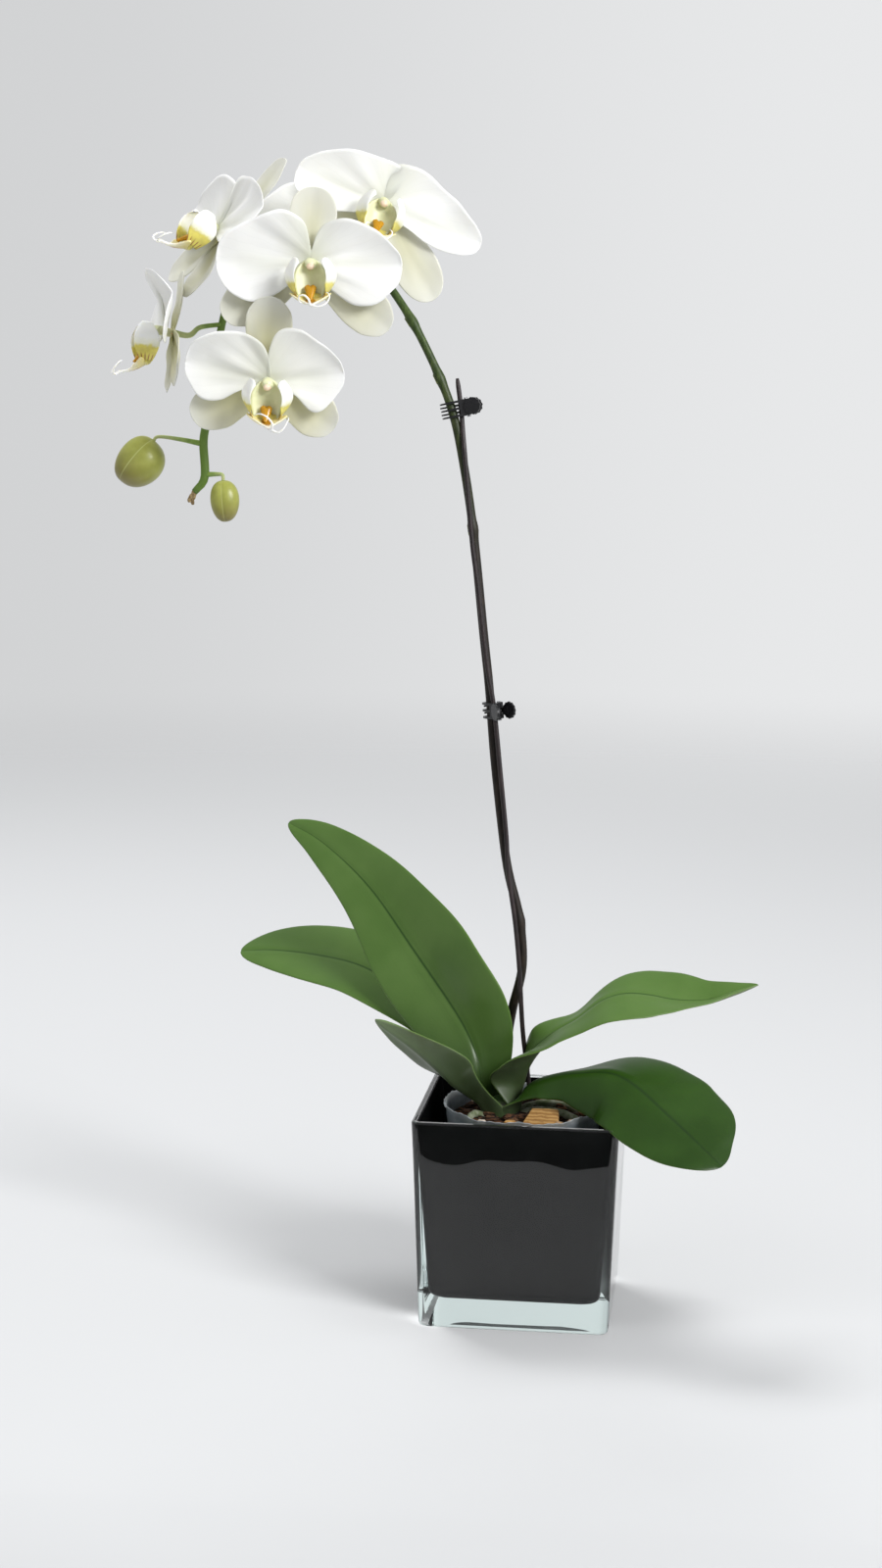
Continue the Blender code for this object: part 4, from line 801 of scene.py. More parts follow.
end = stem_line[-1, :3]
withered = 1.3 + 0.25 * np.sin(np.linspace(0.3, 9, 24)) ** 2 - 0.7 * np.linspace(0, 1, 24) ** 3
flaps = []
for first, second, last in (((-0.4, 0.2, -2.0), (-1.4, 0.3, -4.6), (-1.1, 0.3, -7.6)),
                            ((-1.3, -0.3, -2.0), (-3.0, -0.4, -4.2), (-3.1, -0.4, -6.2))):
    crook = path_through((end + (0.3, 0, 0.9), end + first, end + second, end + last), 24)
    flaps.append(shell(tube(crook, withered, 12)))
add_piece("tip_withered", flaps, [dry_tissue("withered_tip", "#6E5B3F", "#A6916B")],
          ["dried_tip"])


# Stake
# A thin split cane stained dark brown, bent a little to follow the spike, and pushed into the bark.

STAKE = (
    (5, 12, 60), (4, 11, 113), (1.8, 9, 135), (-1, 4, 161), (-2.2, 0, 181), (-3.3, -3.4, 204),
    (-6, -4.9, 232), (-10.5, -4.9, 262), (-12, -4.9, 284), (-16, -4.9, 322), (-20, -4.7, 358),
    (-24.5, -4.8, 384), (-30.5, -4.9, 430), (-34, -4.9, 455), (-38.3, -4.6, 500), (-39.9, -2.7, 514),
    (-40.8, -1, 522), (-41.7, -0.4, 531), (-44.1, 0, 548),
)


def stained_cane():
    """Split bamboo under a thin matt stain, nearly black, with fibres 0.6 mm apart along it."""
    made, shader, add = new_material("stained_cane", {"Roughness": 0.5})
    place = add("TexCoord").outputs["Object"]
    long = add("Mapping", {"Vector": place, "Scale": (1, 1, 0.06)})
    fibre = add("TexNoise", {"Vector": long, "Scale": 1500.0, "Detail": 3.0})
    bump = add("Bump", {"Height": fibre, "Strength": 0.4, "Distance": 0.0002})
    stain = add("Mix", (add("MapRange", (fibre, 0.35, 0.7)), "#181214", "#2F2424"))
    feed(made, shader, {"Base Color": stain, "Normal": bump})
    return made


cane = path_through(STAKE, 200)
cane_radius = 1.4 * np.sqrt(np.clip(np.minimum(np.arange(200) + 1, 200 - np.arange(200)) / 2.5, 0, 1))
add_piece("stake_cane", [shell(tube(cane, cane_radius, 12))], [stained_cane()], ["stake"])


# Claw clips
# Two small spring clips of black ABS, injection moulded, with a steel pin and coil spring. Their
# solids already have the moulded shape, so they keep it and get their finishes here.

def moulded_abs():
    """ABS from a polished mould: black, with a soft sheen and a very fine grain."""
    made, shader, add = new_material("moulded_black_abs", {"Roughness": 0.34, "IOR": 1.53})
    place = add("TexCoord").outputs["Object"]
    grain = add("TexNoise", {"Vector": place, "Scale": 1400.0, "Detail": 3.0})
    bump = add("Bump", {"Height": grain, "Strength": 0.15, "Distance": 0.0001})
    black = add("Mix", (add("MapRange", (grain, 0.4, 0.8)), "#101012", "#1C1C1F"))
    feed(made, shader, {"Base Color": black, "Normal": bump})
    return made


def drawn_steel():
    """Drawn spring steel: bright, with a fine uneven grey."""
    made, shader, add = new_material("drawn_spring_steel", {"Metallic": 1.0, "Roughness": 0.3})
    place = add("TexCoord").outputs["Object"]
    line = add("TexNoise", {"Vector": place, "Scale": 2500.0, "Detail": 2.0})
    feed(made, shader, {"Base Color": add("Mix", (line, "#8E8E90", "#C2C2C4"))})
    return made


clip_plastic, clip_steel = moulded_abs(), drawn_steel()
for place in ("upper", "lower"):
    for part, finish in (("moving_jaw", clip_plastic), ("fixed_jaw", clip_plastic), ("pin", clip_steel),
                         ("spring", clip_steel)):
        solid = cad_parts[f"clip_{place}_{part}"]
        solid.data.materials.clear()
        solid.data.materials.append(finish)


# Buds
# Two closed buds, each three sepals wrapped edge to edge over the petals, which shows as shallow
# seams from base to tip. Pale green and firm, and brownish towards the tip.

def bud_skin():
    """Closed sepals: a smooth wax over mottled pale green, whitish along the seams and tinged brown
    towards the tip. The run's first value goes from base to tip, and its third is 1 on a seam."""
    made, shader, add = new_material("orchid_bud_skin", {"Roughness": 0.36, "Subsurface Weight": 0.2,
                                                         "Subsurface Scale": 0.003,
                                                         "Subsurface Radius": (0.8, 1.0, 0.4)})
    place = add("TexCoord").outputs["Object"]
    run = add("SeparateXYZ", add("Attribute", attribute_name="run").outputs[1])
    mottle = add("TexNoise", {"Vector": place, "Scale": 140.0, "Detail": 4.0})
    skin = add("Mix", (add("MapRange", (mottle, 0.1, 0.9)), "#8A8D3E", "#A3A653"))
    tip = add("Math", (run.outputs[0], add("Math", (mottle, 0.25))), operation="ADD")
    skin = add("Mix", (add("MapRange", (tip, 0.45, 1.2, 0, 0.75)), skin, "#6F5F3C"))
    skin = add("Mix", (add("MapRange", (run.outputs[2], 0.86, 1.0, 0, 0.6)), skin, "#C2C684"))
    feed(made, shader, {"Base Color": skin})
    return made


def bud_rings(bud, stations=48, around=60):
    """Egg whose radius is a flattened sine of the way from base to tip. It sinks along three seams and
    swells to faint corners between them by a cosine of three times the angle, and to one side."""
    base, tip = np.array(bud["base"], float), np.array(bud["tip"], float)
    axis = unit(tip - base)
    x = unit(np.cross((0, -1, 0.2), axis))
    y = np.cross(axis, x)
    rise = (1 - np.cos(np.linspace(0.05, np.pi - 0.05, stations))) / 2
    round_off = np.sin(np.linspace(0.05, np.pi - 0.05, stations)) ** 0.85 * (1.06 - 0.14 * rise)
    angle = np.linspace(0, 2 * np.pi, around, endpoint=False)
    seam = np.cos(1.5 * angle + 0.8) ** 32
    bulge = 0.97 - 0.05 * seam - 0.03 * np.cos(3 * angle + 1.6) + bud["lobe"] * np.cos(angle)
    reach = bud["width"] / 2 * round_off[:, None] * bulge[None]
    rings = (base + axis * (rise * np.linalg.norm(tip - base))[:, None])[:, None] + reach[..., None] * (
        np.cos(angle)[None, :, None] * x + np.sin(angle)[None, :, None] * y)
    run = np.stack([rise[:, None] * np.ones((1, around)), np.ones((stations, 1)) * angle[None] / 6.2832,
                    np.ones((stations, 1)) * seam[None]], -1)
    return rings, run


closed_sepals = bud_skin()
for bud in BUDS:
    rings, run = bud_rings(bud)
    add_piece(bud["name"] + "_sepals", [shell(rings, run)], [closed_sepals], [bud["name"]])


# Tepals and column
# Each open bloom has three sepals behind and two broad petals in front, all white, thin and a little
# fleshy, and a column in the middle with a hooded cap. They grow as one from the ovary.

def tepal_grid(angle, length, high, low, lift, cup, arch, curl, slope, sweep, phase, along=52, across=27):
    """Surface of a sepal or petal in its bloom's frame: X right, Y to the top sepal, Z forwards. It
    runs out at an angle. Its half width on either side is a smooth curve through eleven values. Its
    height is a lift, a slope and an arch along it, a curl at the tip, a cup across it that is deeper
    on its upper side, folds that fan out from the claw, and slow waves that grow towards its edge.
    Near the claw its upper edge is swept back over the bloom's middle. Its run's first value is the
    direction from a point just behind the claw, so that a vein keeps one value.
    """
    u, v = np.linspace(0.012, 0.988, along)[:, None], np.linspace(-1, 1, across)[None]
    out = np.array((math.cos(math.radians(angle)), math.sin(math.radians(angle)), 0))
    side = np.array((-out[1], out[0], 0))
    reach = (1 - np.cos(np.pi * u)) / 2
    half = np.where(v > 0, spline(high, u[:, 0]), spline(low, u[:, 0]))
    half = half * (1 + 0.012 * np.sin(17 * u + phase) + 0.008 * np.sin(31 * u + 2 * phase))
    waves = np.sin(8 * u + phase + 1.5 * v) + 0.5 * np.sin(17 * u + 2 * phase)
    ripple = 0.6 * v**2 * np.sin(np.pi * u) * waves
    crease = -1.2 * np.exp(-(v * half / 3.2) ** 2) * (1 - u)
    fan = np.arctan2(half * v, reach * length + 5.0)
    folds = 0.9 * np.sin(7.0 * fan + phase) + 0.3 * np.sin(19.0 * fan + 2 * phase)
    folds = folds * np.sin(np.pi * np.clip(reach * 1.3, 0, 1)) * np.clip(half / 20, 0, 1)
    hood = cup * (1 + 0.55 * np.sign(v * side[1]))
    height = (lift + slope * reach * length + arch * np.sin(np.pi * reach) + curl * reach**2
              + hood * np.abs(v) ** 1.7 * np.sqrt(reach) * half / 25 + ripple + crease + folds)
    back = sweep * v**2 * (1 - reach) ** 2 * half / 26 * (v * side[1] > 0)
    grid = (out * (reach * length - back)[..., None] + side * (half * v)[..., None]
            + np.array((0, 0, 1)) * height[..., None])
    edge = np.sqrt(np.clip(1 - v**8, 0, 1)) * np.ones_like(u)
    thick = (0.28 + 0.45 * edge) * (1 + 0.5 * np.exp(-(v * half / 2.5) ** 2) * (1 - u))
    return grid, thick, blade_run(fan, u, grid.shape[:2])


def in_bloom(bloom, points):
    """Points from a bloom's own frame to their place: its Z faces forwards and its Y leans to the top."""
    z = unit(np.array(bloom["facing"], float))
    y = np.array(bloom["top"], float)
    y = unit(y - z * (y @ z))
    return np.array(bloom["middle"]) + points @ np.stack([np.cross(y, z), y, z])


def white_petal(name, heart, tint, cream):
    """Moth orchid petal: white cells under a fine matt skin. Veins fan out from the claw, 2 to 3 mm
    apart, as faint grey lines and soft ridges, and light comes through it. The heart colour is mixed in
    near the claw and along the midrib: on the petals a grey, painted shade there, and on the sepals
    their own yellow green base. It is creamier in the lowest blooms, which are the youngest."""
    made, shader, add = new_material(name, {"Roughness": 0.55, "IOR": 1.38, "Sheen Weight": 0.05,
                                            "Sheen Roughness": 0.4, "Subsurface Weight": 0.3,
                                            "Subsurface Scale": 0.0015,
                                            "Subsurface Radius": (1.0, 0.95, 0.85)})
    place = add("TexCoord").outputs["Object"]
    height = add("SeparateXYZ", place).outputs[2]
    run = add("SeparateXYZ", add("Attribute", attribute_name="run").outputs[1])
    fan, along = run.outputs[0], run.outputs[1]
    soft = add("TexNoise", {"Vector": place, "Scale": 90.0, "Detail": 3.0})
    cells = add("TexNoise", {"Vector": place, "Scale": 1800.0, "Detail": 2.0})
    bent = add("Math", (fan, add("Math", (soft, 0.12))), operation="ADD")
    lines = add("Math", add("Math", (bent, 30.0)), operation="SINE")
    lines = add("Math", lines, operation="ABSOLUTE")
    lowest, inner = add("MapRange", (height, 0.62, 0.54)), add("MapRange", (along, 0.95, 0.30))
    young = add("Math", (lowest, inner))
    skin = add("Mix", (young, tint, cream))
    skin = add("Mix", (add("MapRange", (lines, 0.35, 0.0, 0, 0.09)), skin, "#CBCDC8"))
    # The heart colour near the claw and along the midrib: painted shade on the petals, and on the sepals
    # their own yellow green base.
    midrib = add("MapRange", (add("Math", fan, operation="ABSOLUTE"), 0.32, 0.03))
    midrib = add("Math", (midrib, add("MapRange", (along, 0.9, 0.4, 0, 0.4))))
    claw = add("MapRange", (along, 0.50, 0.04, 0, 0.9))
    skin = add("Mix", (add("Math", (midrib, claw), operation="MAXIMUM"), skin, heart))
    cells = add("Math", (cells, 0.25))
    ridges = add("Math", (add("Math", (lines, 0.8)), cells), operation="ADD")
    bump = add("Bump", {"Height": ridges, "Strength": 0.08, "Distance": 0.0002})
    feed(made, shader, {"Base Color": skin, "Normal": bump})
    return made


def column_parts(bloom):
    """The column, a rod that swells forwards and is flattened below, and its peach cap, a small dome."""
    path = path_through(((0, 0, -4), (0, 0, 0), (0, 0.4, 5), (0, -1.0, 10.2)), 30)
    rise = np.linspace(0, 1, 30)
    radius = (2.4 + 0.9 * rise) * np.sqrt(np.clip((1.04 - rise) * 6, 0, 1))
    turn = np.linspace(0, 2 * np.pi, 20, endpoint=False)
    rod = tube(path, radius, 20, (1 + 0.1 * np.cos(2 * turn))[None])
    u = np.linspace(0.08, np.pi - 0.08, 14)[:, None]
    cap = np.stack([2.3 * np.sin(u) * np.cos(turn), -1.5 + 1.9 * np.sin(u) * np.sin(turn),
                    10.4 - 1.7 * np.cos(u) * np.ones_like(turn)], -1)
    return [shell(in_bloom(bloom, rod), (0, 1, 0), 1), shell(in_bloom(bloom, cap), (0, 0, 1), 2)]


def column_wax():
    """Column and throat of the lip: solid waxy tissue, pale yellow green, smoother than the petals."""
    made, shader, add = new_material("orchid_column_wax", {"Roughness": 0.35, "Subsurface Weight": 0.3,
                                                           "Subsurface Scale": 0.003,
                                                           "Subsurface Radius": (1.0, 0.8, 0.7)})
    place = add("TexCoord").outputs["Object"]
    soft = add("TexNoise", {"Vector": place, "Scale": 300.0, "Detail": 2.0})
    feed(made, shader, {"Base Color": add("Mix", (soft, "#E2E3C2", "#CFD2A0"))})
    return made


def anther_cap():
    """Anther cap: smooth peach wax, paler in soft patches."""
    made, shader, add = new_material("orchid_anther_cap", {"Roughness": 0.3})
    place = add("TexCoord").outputs["Object"]
    soft = add("TexNoise", {"Vector": place, "Scale": 400.0})
    feed(made, shader, {"Base Color": add("Mix", (soft, "#E9C9A4", "#F3E2CF"))})
    return made


# Half widths in mm at eleven even steps from claw to tip, above and below the petal's own line, for
# the right petal and then the left one
PETAL_EDGES = {
    "bloom_1": (((3.5, 14, 24, 26, 24.8, 21.3, 17.5, 12.5, 8.5, 5, 0),
                 (3.5, 4.5, 5.5, 6.5, 8, 10.7, 11.5, 10.5, 8, 5, 0)),
                ((3.5, 12, 21.4, 24.1, 23.6, 21.8, 19.2, 15.2, 10.5, 6, 0),
                 (3.5, 5, 7, 9.5, 12, 14.1, 13.8, 13, 11.5, 7.5, 0))),
    "bloom_2": (((3.5, 8, 17, 22.5, 25.5, 24.6, 21.2, 16.3, 11, 6.5, 0),
                 (3.5, 5, 8, 13, 18.5, 22.4, 22, 18.7, 13.4, 8.5, 0)),
                ((3.5, 10, 22, 27.5, 29, 27.4, 23.8, 19.8, 15.3, 9.5, 0),
                 (3.5, 4.5, 7, 11, 15.8, 20.5, 21, 18, 13, 7, 0))),
    "bloom_3": (((3.5, 8, 18, 27, 30.6, 28.8, 24, 18.8, 13, 7.5, 0),
                 (3.5, 3.5, 4, 5.5, 9.5, 17.5, 18.6, 14.6, 9.6, 5.5, 0)),
                ((3.5, 8, 15, 21, 24.3, 24.9, 23, 19.8, 16, 10.5, 0),
                 (3.5, 3, 3.5, 5.5, 10, 16, 18, 16, 10.5, 5.5, 0))),
}
COMMON_PETAL = ((3.5, 9, 19, 25.5, 28, 26.5, 22.5, 17.5, 12.5, 7.5, 0),
                (3.5, 4.5, 7, 11, 16, 20, 20.3, 17, 12, 7, 0))
SEPAL_EDGE = (4.5, 5.3, 6.6, 8.4, 10.6, 12.5, 13.4, 12.4, 9.6, 5.8, 0)
# The petals' heart colour, #C9CBBB, is a grey of painted shade near the claw.
petal_white = white_petal("white_orchid_petal", "#C9CBBB", "#E7E7E5", "#E2E2DB")
# The sepals' greyer white is painted shade, for where they lie behind the petals; their cream and yellow
# green base are their own.
sepal_white_painted_shade = white_petal("creamy_orchid_sepal_painted_shade", "#BDBA7E", "#D0D0C6", "#D0CDA8")
pale_wax, peach_cap = column_wax(), anther_cap()
for index, bloom in enumerate(BLOOMS):
    tepals = []
    for place, (angle, length) in enumerate((bloom["top_sepal"], *bloom["low_sepals"])):
        lift = -7.0 if (index, place) == (0, 0) else -2.6
        grid, wall, run = tepal_grid(angle, length, SEPAL_EDGE, SEPAL_EDGE, lift=lift, cup=2.5, arch=-2.5,
                                     curl=-2.5, slope=0, sweep=0, phase=index + place)
        tepals.append(shell(in_bloom(bloom, blade(grid, wall)), run, 3))
    edges = PETAL_EDGES.get(bloom["name"], (COMMON_PETAL, COMMON_PETAL))
    for (angle, length), (upper, lower), side in zip(bloom["petals"], edges, (1, -1)):
        high, low = (upper, lower)[::side]
        sweep = 3.0 if index else 12.0 - 4.0 * side
        grid, wall, run = tepal_grid(angle, length, high, low, lift=1.8, cup=bloom.get("cup", 7.5),
                                     arch=-1.5, curl=-2.5, slope=bloom.get("slope", 0.0), sweep=sweep,
                                     phase=2 * index + side)
        tepals.append(shell(in_bloom(bloom, blade(grid, wall)), run, 0))
    tepals += column_parts(bloom)
    add_piece(bloom["name"] + "_petals", tepals, [petal_white, pale_wax, peach_cap, sepal_white_painted_shade],
              [bloom["name"] + "_tepals"])


# Lips
# The third petal of each bloom, hinged under the column: two wings that curl up round it, a pointed
# trowel in front with two thin tendrils at its tip, and a waxy yellow callus between the wings.

def wing_grid(sign):
    """Side lobe: a hood that stands up beside the column. Its back edge bulges outwards along a sine,
    its front edge curls in to three fifths of that, and its top corner is rounded off."""
    u, v = np.linspace(0, 1, 26)[:, None], np.linspace(-1, 1, 15)[None]
    bulge = 5.8 + 8.6 * np.sin(np.pi * (0.05 + 0.80 * u))
    wide = 2.2 + 5.0 * np.sin(np.pi * np.minimum(1.0, 0.10 + 0.76 * u))
    inward = 0.38 * ((v + 1) / 2) ** 1.6 * np.clip(u * 3, 0, 1)
    y = -18.5 + 22 * u - 3.0 * v**4 * u**3
    return np.stack([sign * bulge * (1 - inward), y, 11.0 + wide * v + 1.8 * u], -1), u, v


TROWEL_ROOT = -18.2


def trowel_grid(drop, bend):
    """Middle lobe: a keeled boat that falls by a drop to its tip and bends aside by the square of the
    way there. Its half width has pointed, lifted corners a third of the way out, and then narrows."""
    u, v = np.linspace(0, 1, 30)[:, None], np.linspace(-1, 1, 17)[None]
    corner = np.exp(-(((u - 0.36) / 0.17) ** 2))
    half = 3.4 * (1 - u) + 8.6 * corner + 0.7
    keel = 0.8 * np.exp(-(v * half / 1.3) ** 2) * (1 - u)
    y = TROWEL_ROOT - drop * u + 4.2 * v * v * corner + 1.0 * v * v + keel - 1.6 * np.sin(np.pi * u)
    return np.stack([half * v + bend * u * u, y, (8 + 18 * u) * np.ones_like(v)], -1), u, v


def throat_grid():
    """Throat: a shallow trough from the column's foot down to the trowel. Its sides rise forwards with
    the square of the way across, and its top closes in an arch between the wings."""
    u, v = np.linspace(0, 1, 18)[:, None], np.linspace(-1, 1, 13)[None]
    arch = np.sqrt(np.clip(1 - np.clip(1 - u / 0.45, 0, 1) ** 2, 0.02, 1))
    half = (5.0 + 4.1 * np.sin(np.pi * (0.12 + 0.72 * u))) * arch
    z = 4.0 + 5.2 * u + 3.4 * v * v * arch
    return np.stack([half * v, (2.6 - 20.6 * u) * np.ones_like(v), z], -1), u, v


def lip_skin():
    """Lip: white and waxy, with a yellow foot on each wing, red brown dashes about 2 mm apart at its
    lowest part, and a trowel that goes from pale yellow to white, golden and speckled in its middle.
    The run's third value is 0 on the wings and 1 on the trowel."""
    made, shader, add = new_material("orchid_lip_skin", {"Roughness": 0.42, "Subsurface Weight": 0.25,
                                                         "Subsurface Scale": 0.0015,
                                                         "Subsurface Radius": (1.0, 0.9, 0.6)})
    run = add("SeparateXYZ", add("Attribute", attribute_name="run").outputs[1])
    place = add("TexCoord").outputs["Object"]
    across, along, part = run.outputs[0], run.outputs[1], run.outputs[2]
    soft = add("TexNoise", {"Vector": place, "Scale": 350.0, "Detail": 3.0})
    uneven = add("Math", (add("Math", (soft, 0.5), operation="SUBTRACT"), 0.16))
    root = add("Math", (along, uneven), operation="ADD")
    yellow = add("Mix", (add("MapRange", (soft, 0.3, 0.7)), "#D9C832", "#C4AF1E"))
    wing = add("Mix", (add("MapRange", (root, 0.44, 0.33)), "#EFEFEA", yellow))
    wing = add("Mix", (add("MapRange", (root, 0.62, 0.40, 0, 0.35)), wing, "#D5D79A"))
    stripe = add("Math", add("Math", (across, 15.0)), operation="SINE")
    dash = add("MapRange", (stripe, 0.3, 0.8, 0, 0.8))
    red = add("Math", (dash, add("MapRange", (root, 0.22, 0.10))))
    wing = add("Mix", (red, wing, "#8C4A3A"))
    trowel = add("Mix", (add("MapRange", (root, 0.25, 0.75)), "#DDD08A", "#F1F0EA"))
    spot = add("TexVoronoi", {"Vector": place, "Scale": 800.0})
    middle = add("MapRange", (add("Math", across, operation="ABSOLUTE"), 0.34, 0.20))
    middle = add("Math", (middle, add("MapRange", (root, 0.75, 0.45))))
    heart = add("Mix", (add("MapRange", (spot, 0.30, 0.20)), "#B58117", "#7E3F1C"))
    trowel = add("Mix", (middle, trowel, heart))
    feed(made, shader, {"Base Color": add("Mix", (part, wing, trowel))})
    return made


def callus_wax():
    """Callus: glossy golden wax with fine red brown specks 0.8 mm apart."""
    made, shader, add = new_material("orchid_callus_wax", {"Roughness": 0.25})
    place = add("TexCoord").outputs["Object"]
    speck = add("TexVoronoi", {"Vector": place, "Scale": 1300.0})
    gold = add("Mix", (add("MapRange", (speck, 0.24, 0.12)), "#BC8814", "#7A3E12"))
    feed(made, shader, {"Base Color": gold})
    return made


def callus_rings():
    """Heart-shaped crest: rings round a line that leans forwards and down. It is broad and cleft at the
    top, and narrows to a point on the trowel."""
    rise = np.linspace(0.04, 1, 22)[:, None]
    turn = np.linspace(0, 2 * np.pi, 28, endpoint=False)[None]
    dome = np.sqrt(np.clip(1 - (1 - rise / 0.22).clip(0, 1) ** 2, 0.03, 1))
    wide = 3.5 * dome * (1 - 0.86 * rise.clip(0.2, 1) ** 1.3 + 0.1)
    deep = 2.3 * dome * (1 - 0.7 * rise)
    cleft = 1.6 * np.exp(-(np.cos(turn) / 0.35) ** 2) * (1 - rise).clip(0, 1) ** 2
    x = wide * np.cos(turn)
    y = -11.4 - 8.4 * rise + 0.35 * deep * np.sin(turn) - cleft * np.exp(-(rise / 0.3) ** 2)
    return np.stack([x, y, 10.5 + 6.5 * rise + deep * np.sin(turn)], -1)


lip_white, golden_callus = lip_skin(), callus_wax()
# Fall and bend of each trowel's tip in mm, bloom by bloom
TROWEL_TIPS = ((6.0, 0.0), (4.5, 0.5), (4.5, 4.0), (8.5, 0.0), (9.0, 0.0), (7.0, 0.0))
# Points in mm along the left and the right tendril, after the first one at the trowel's tip
COMMON_TENDRILS = (
    ((-2.0, -0.9, 27.3), (-4.8, 0.6, 28.2), (-7.0, 3.8, 27), (-6.6, 6.6, 24.6), (-4.6, 6.8, 23.4)),
    ((2.4, -1.2, 27.0), (5.6, -0.2, 28.6), (8.2, 2.8, 28), (8.4, 5.6, 26.0), (6.6, 6.9, 24.0)))
TENDRILS = {
    "bloom_2": (
        ((-1.2, 3.6, 27), (-3.6, 5.8, 27.6), (-6.2, 5.3, 26.5), (-6.4, 2.6, 25.5), (-4.6, 1.6, 25)),
        ((4.3, -0.4, 27), (8.6, 1.6, 27.5), (10.4, 4.8, 26), (9.6, 6.9, 24.5), (8.4, 7.2, 24))),
    "bloom_3": (
        ((0.3, 4.2, 27.5), (-2.4, 7.7, 28), (-6, 9.2, 27), (-8.4, 8.8, 25.6), (-9.2, 8.0, 25)),
        ((3.6, -0.6, 27), (6.6, 1.7, 27.5), (8.2, 4.6, 26.5), (9.2, 6.9, 25.5), (9.0, 7.9, 25))),
}
run_out = np.linspace(0, 1, 40)
tendril_radius = 0.75 * (1 - 0.62 * run_out) * np.sqrt(np.clip((1.03 - run_out) * 9, 0, 1))
for bloom, (drop, bend) in zip(BLOOMS, TROWEL_TIPS):
    parts = []
    for sign in (-1, 1):
        grid, u, v = wing_grid(sign)
        wall = np.full(grid.shape[:2], 0.6) * (1 - 0.5 * np.abs(v) ** 6)
        run = blade_run(v, u, grid.shape[:2]) * (1, 1, 0)
        parts.append(shell(in_bloom(bloom, blade(grid, wall)), run))
        foot = path_through(((0, -17.6, 9.4), (sign * 3.5, -18.2, 10.2), (sign * 7.2, -17.6, 11.0)), 14)
        parts.append(shell(in_bloom(bloom, tube(foot, np.linspace(2.6, 1.6, 14), 12)), (0.4, 0.2, 0)))
        thread = ((sign * 0.3, 0.2, 25.2), *TENDRILS.get(bloom["name"], COMMON_TENDRILS)[sign > 0])
        curl = path_through([(x + bend, y + TROWEL_ROOT - drop, z) for x, y, z in thread], 40)
        parts.append(shell(in_bloom(bloom, tube(curl, tendril_radius, 9)), (1, 1, 1)))
    grid, u, v = trowel_grid(drop, bend)
    wall = (0.7 + 0.9 * (1 - np.abs(v) ** 4)) * (1 - 0.3 * u)
    run = blade_run(v, u, grid.shape[:2])
    parts.append(shell(in_bloom(bloom, blade(grid, wall)), run * (1, 1, 0) + (0, 0, 1)))
    grid, u, v = throat_grid()
    parts.append(shell(in_bloom(bloom, blade(grid, np.full(grid.shape[:2], 1.4))), (0, 0, 0), 2))
    parts.append(shell(in_bloom(bloom, callus_rings()), finish=1))
    add_piece(bloom["name"] + "_lobes", parts, [lip_white, golden_callus, pale_wax],
              [bloom["name"] + "_lip"])


# Studio
# A floor of pale paper that fades out far from the vase, a glowing backdrop inside a glowing ring,
# three soft boxes, and a dark cloth in front that only reflections meet. The camera stands where the
# photo's did.

def sweep_paint():
    """Matt pale grey paper, with painted shade that darkens it near the camera. It fades to clear far
    out, so that no edge shows.
    """
    made, shader, add = new_material("sweep_paper", {"Roughness": 0.8, "Specular IOR Level": 0.2})
    place = add("TexCoord").outputs["Object"]
    near = add("SeparateXYZ", place).outputs[1]
    far = add("VectorMath", place, operation="LENGTH").outputs["Value"]
    clear = add("BsdfTransparent")
    mixed = add("MixShader", (add("MapRange", (far, 1.1, 3.4)), shader, clear))
    feed(made, made.node_tree.nodes["Material Output"], {"Surface": mixed})
    # Painted shade: the paper darkens towards the camera.
    paper = add("Mix", (add("MapRange", (near, -0.25, -0.60)), "#C5C6C7", "#B3B4B5"))
    feed(made, shader, {"Base Color": paper})
    return made


def flat_card(name, corners, finish):
    """Flat quads of the studio, four corners each, in metres."""
    mesh = bpy.data.meshes.new(name)
    mesh.from_pydata(corners, [], [range(first, first + 4) for first in range(0, len(corners), 4)])
    mesh.materials.append(finish)
    card = bpy.data.objects.new(name, mesh)
    bpy.context.scene.collection.objects.link(card)
    return card


def backdrop_glow():
    """Backdrop of white cloth lit from behind: a glowing card, with painted shade that makes it a little
    darker on the left.
    """
    made, _, add = new_material("backdrop_cloth", {"Roughness": 1.0})
    across = add("SeparateXYZ", add("TexCoord").outputs["Object"]).outputs[0]
    # Painted shade: the glow is a little darker on the left.
    light = add("Mix", (add("MapRange", (across, -1.66, 0.47)), "#D2D3D4", "#E8E9EA"))
    glow = add("Emission", light)
    feed(made, made.node_tree.nodes["Material Output"], {"Surface": glow})
    return made


flat_card("sweep", [(-4, -4, 0), (4, -4, 0), (4, 4, 0), (-4, 4, 0)], sweep_paint())
backdrop = flat_card("backdrop", [(-3.2, 4.2, -1.6), (2.2, 4.2, -1.6), (2.2, 4.2, 2.6), (-3.2, 4.2, 2.6)],
                     backdrop_glow())
ring = [(5.6 * math.cos(turn * math.pi / 20), 5.6 * math.sin(turn * math.pi / 20)) for turn in range(41)]
around = flat_card("backdrop_ring", [corner for (a, b), (c, d) in zip(ring, ring[1:]) for corner in (
    (a, b, -4), (c, d, -4), (c, d, 5), (a, b, 5))], backdrop.data.materials[0])
around.visible_glossy = around.visible_transmission = False
for card in (backdrop, around):
    card.visible_diffuse = card.visible_shadow = False
cloth, _, _ = new_material("dark_cloth", {
    "Base Color": "#0B0B0C", "Roughness": 0.95, "Specular IOR Level": 0.1})
dark = flat_card("dark_cloth", [(-2.2, -2.6, 0.002), (2.2, -2.6, 0.002), (2.2, -0.315, 0.002),
                                (-2.2, -0.315, 0.002)], cloth)
dark.visible_camera = dark.visible_diffuse = dark.visible_shadow = dark.visible_transmission = False


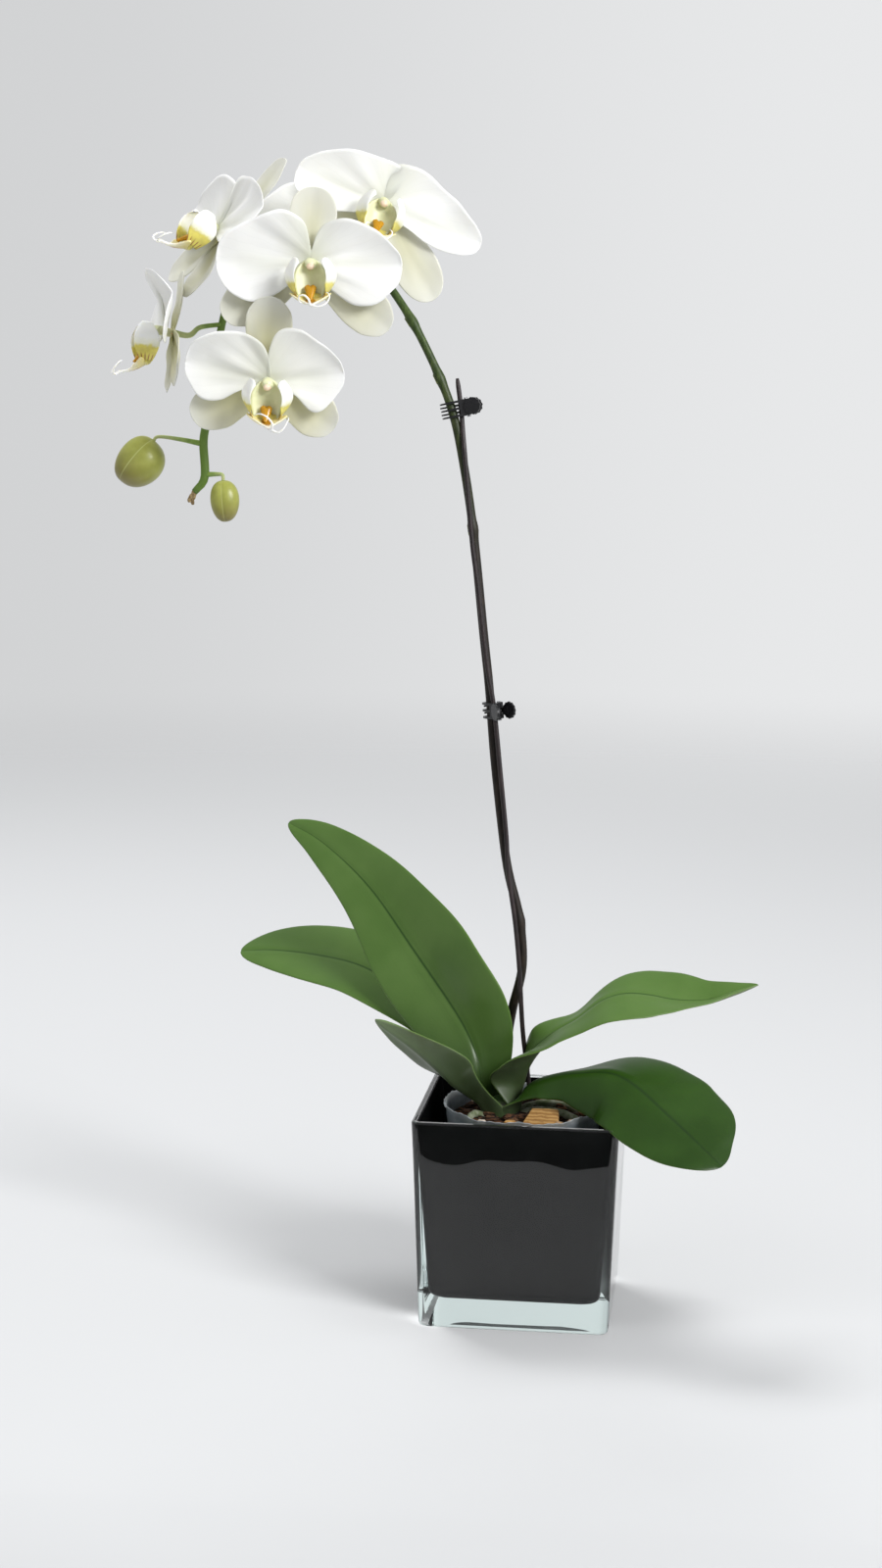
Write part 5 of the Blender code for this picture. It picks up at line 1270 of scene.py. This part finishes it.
def turned_to(right, up, back, place):
    """Matrix of an object at a place, whose own X, Y and Z lie along these three."""
    return Matrix([(right[k], up[k], back[k], place[k]) for k in range(3)] + [(0, 0, 0, 1)])


def soft_light(name, place, aim, size, power):
    """White square soft box that looks from its place at a point."""
    lamp = bpy.data.lights.new(name, "AREA")
    lamp.shape, lamp.size, lamp.energy = "SQUARE", size, power
    box = bpy.data.objects.new(name, lamp)
    bpy.context.scene.collection.objects.link(box)
    back = unit(np.array(place, float) - np.array(aim, float))
    right = unit(np.cross((0.0, 0.001, 1.0), back))
    box.matrix_world = turned_to(right, np.cross(back, right), back, place)
    return box


# The key stands on the right in front, a second light higher on the left behind, and a weak fill on
# the left in front.
soft_light("key_box", (1.95, -1.55, 1.80), (-0.05, 0, 0.2), 1.1, 88)
soft_light("back_box", (-1.06, 1.17, 2.74), (-0.05, 0, 0.2), 1.1, 57).visible_glossy = False
soft_light("fill_box", (-2.1, -1.5, 1.9), (-0.1, 0, 0.5), 1.4, 16).visible_glossy = False

world = bpy.data.worlds.new("studio_air")
world.use_nodes = True
bpy.context.scene.world = world
world.node_tree.nodes["Background"].inputs["Color"].default_value = linear("#B4B5B7")

camera_data = bpy.data.cameras.new("photo_camera")
camera_data.lens, camera_data.sensor_fit, camera_data.sensor_height = 60, "VERTICAL", 36
camera_data.clip_start = 0.01
camera = bpy.data.objects.new("photo_camera", camera_data)
bpy.context.scene.collection.objects.link(camera)
# Found from the vase's edges in the photo: where the camera stood, in metres, and how it was turned
CAMERA_PLACE = (0.130, -1.507, 0.537)
yaw, pitch, roll = math.radians(-6.86), math.radians(8.41), math.radians(0.54)
sight = np.array((math.sin(yaw) * math.cos(pitch), math.cos(yaw) * math.cos(pitch), -math.sin(pitch)))
level = np.array((math.cos(yaw), -math.sin(yaw), 0))
rise = np.cross(level, sight)
right = level * math.cos(roll) + rise * math.sin(roll)
up = rise * math.cos(roll) - level * math.sin(roll)
camera.matrix_world = turned_to(right, up, -sight, CAMERA_PLACE)
bpy.context.scene.camera = camera
bpy.context.scene.view_settings.view_transform = "Standard"
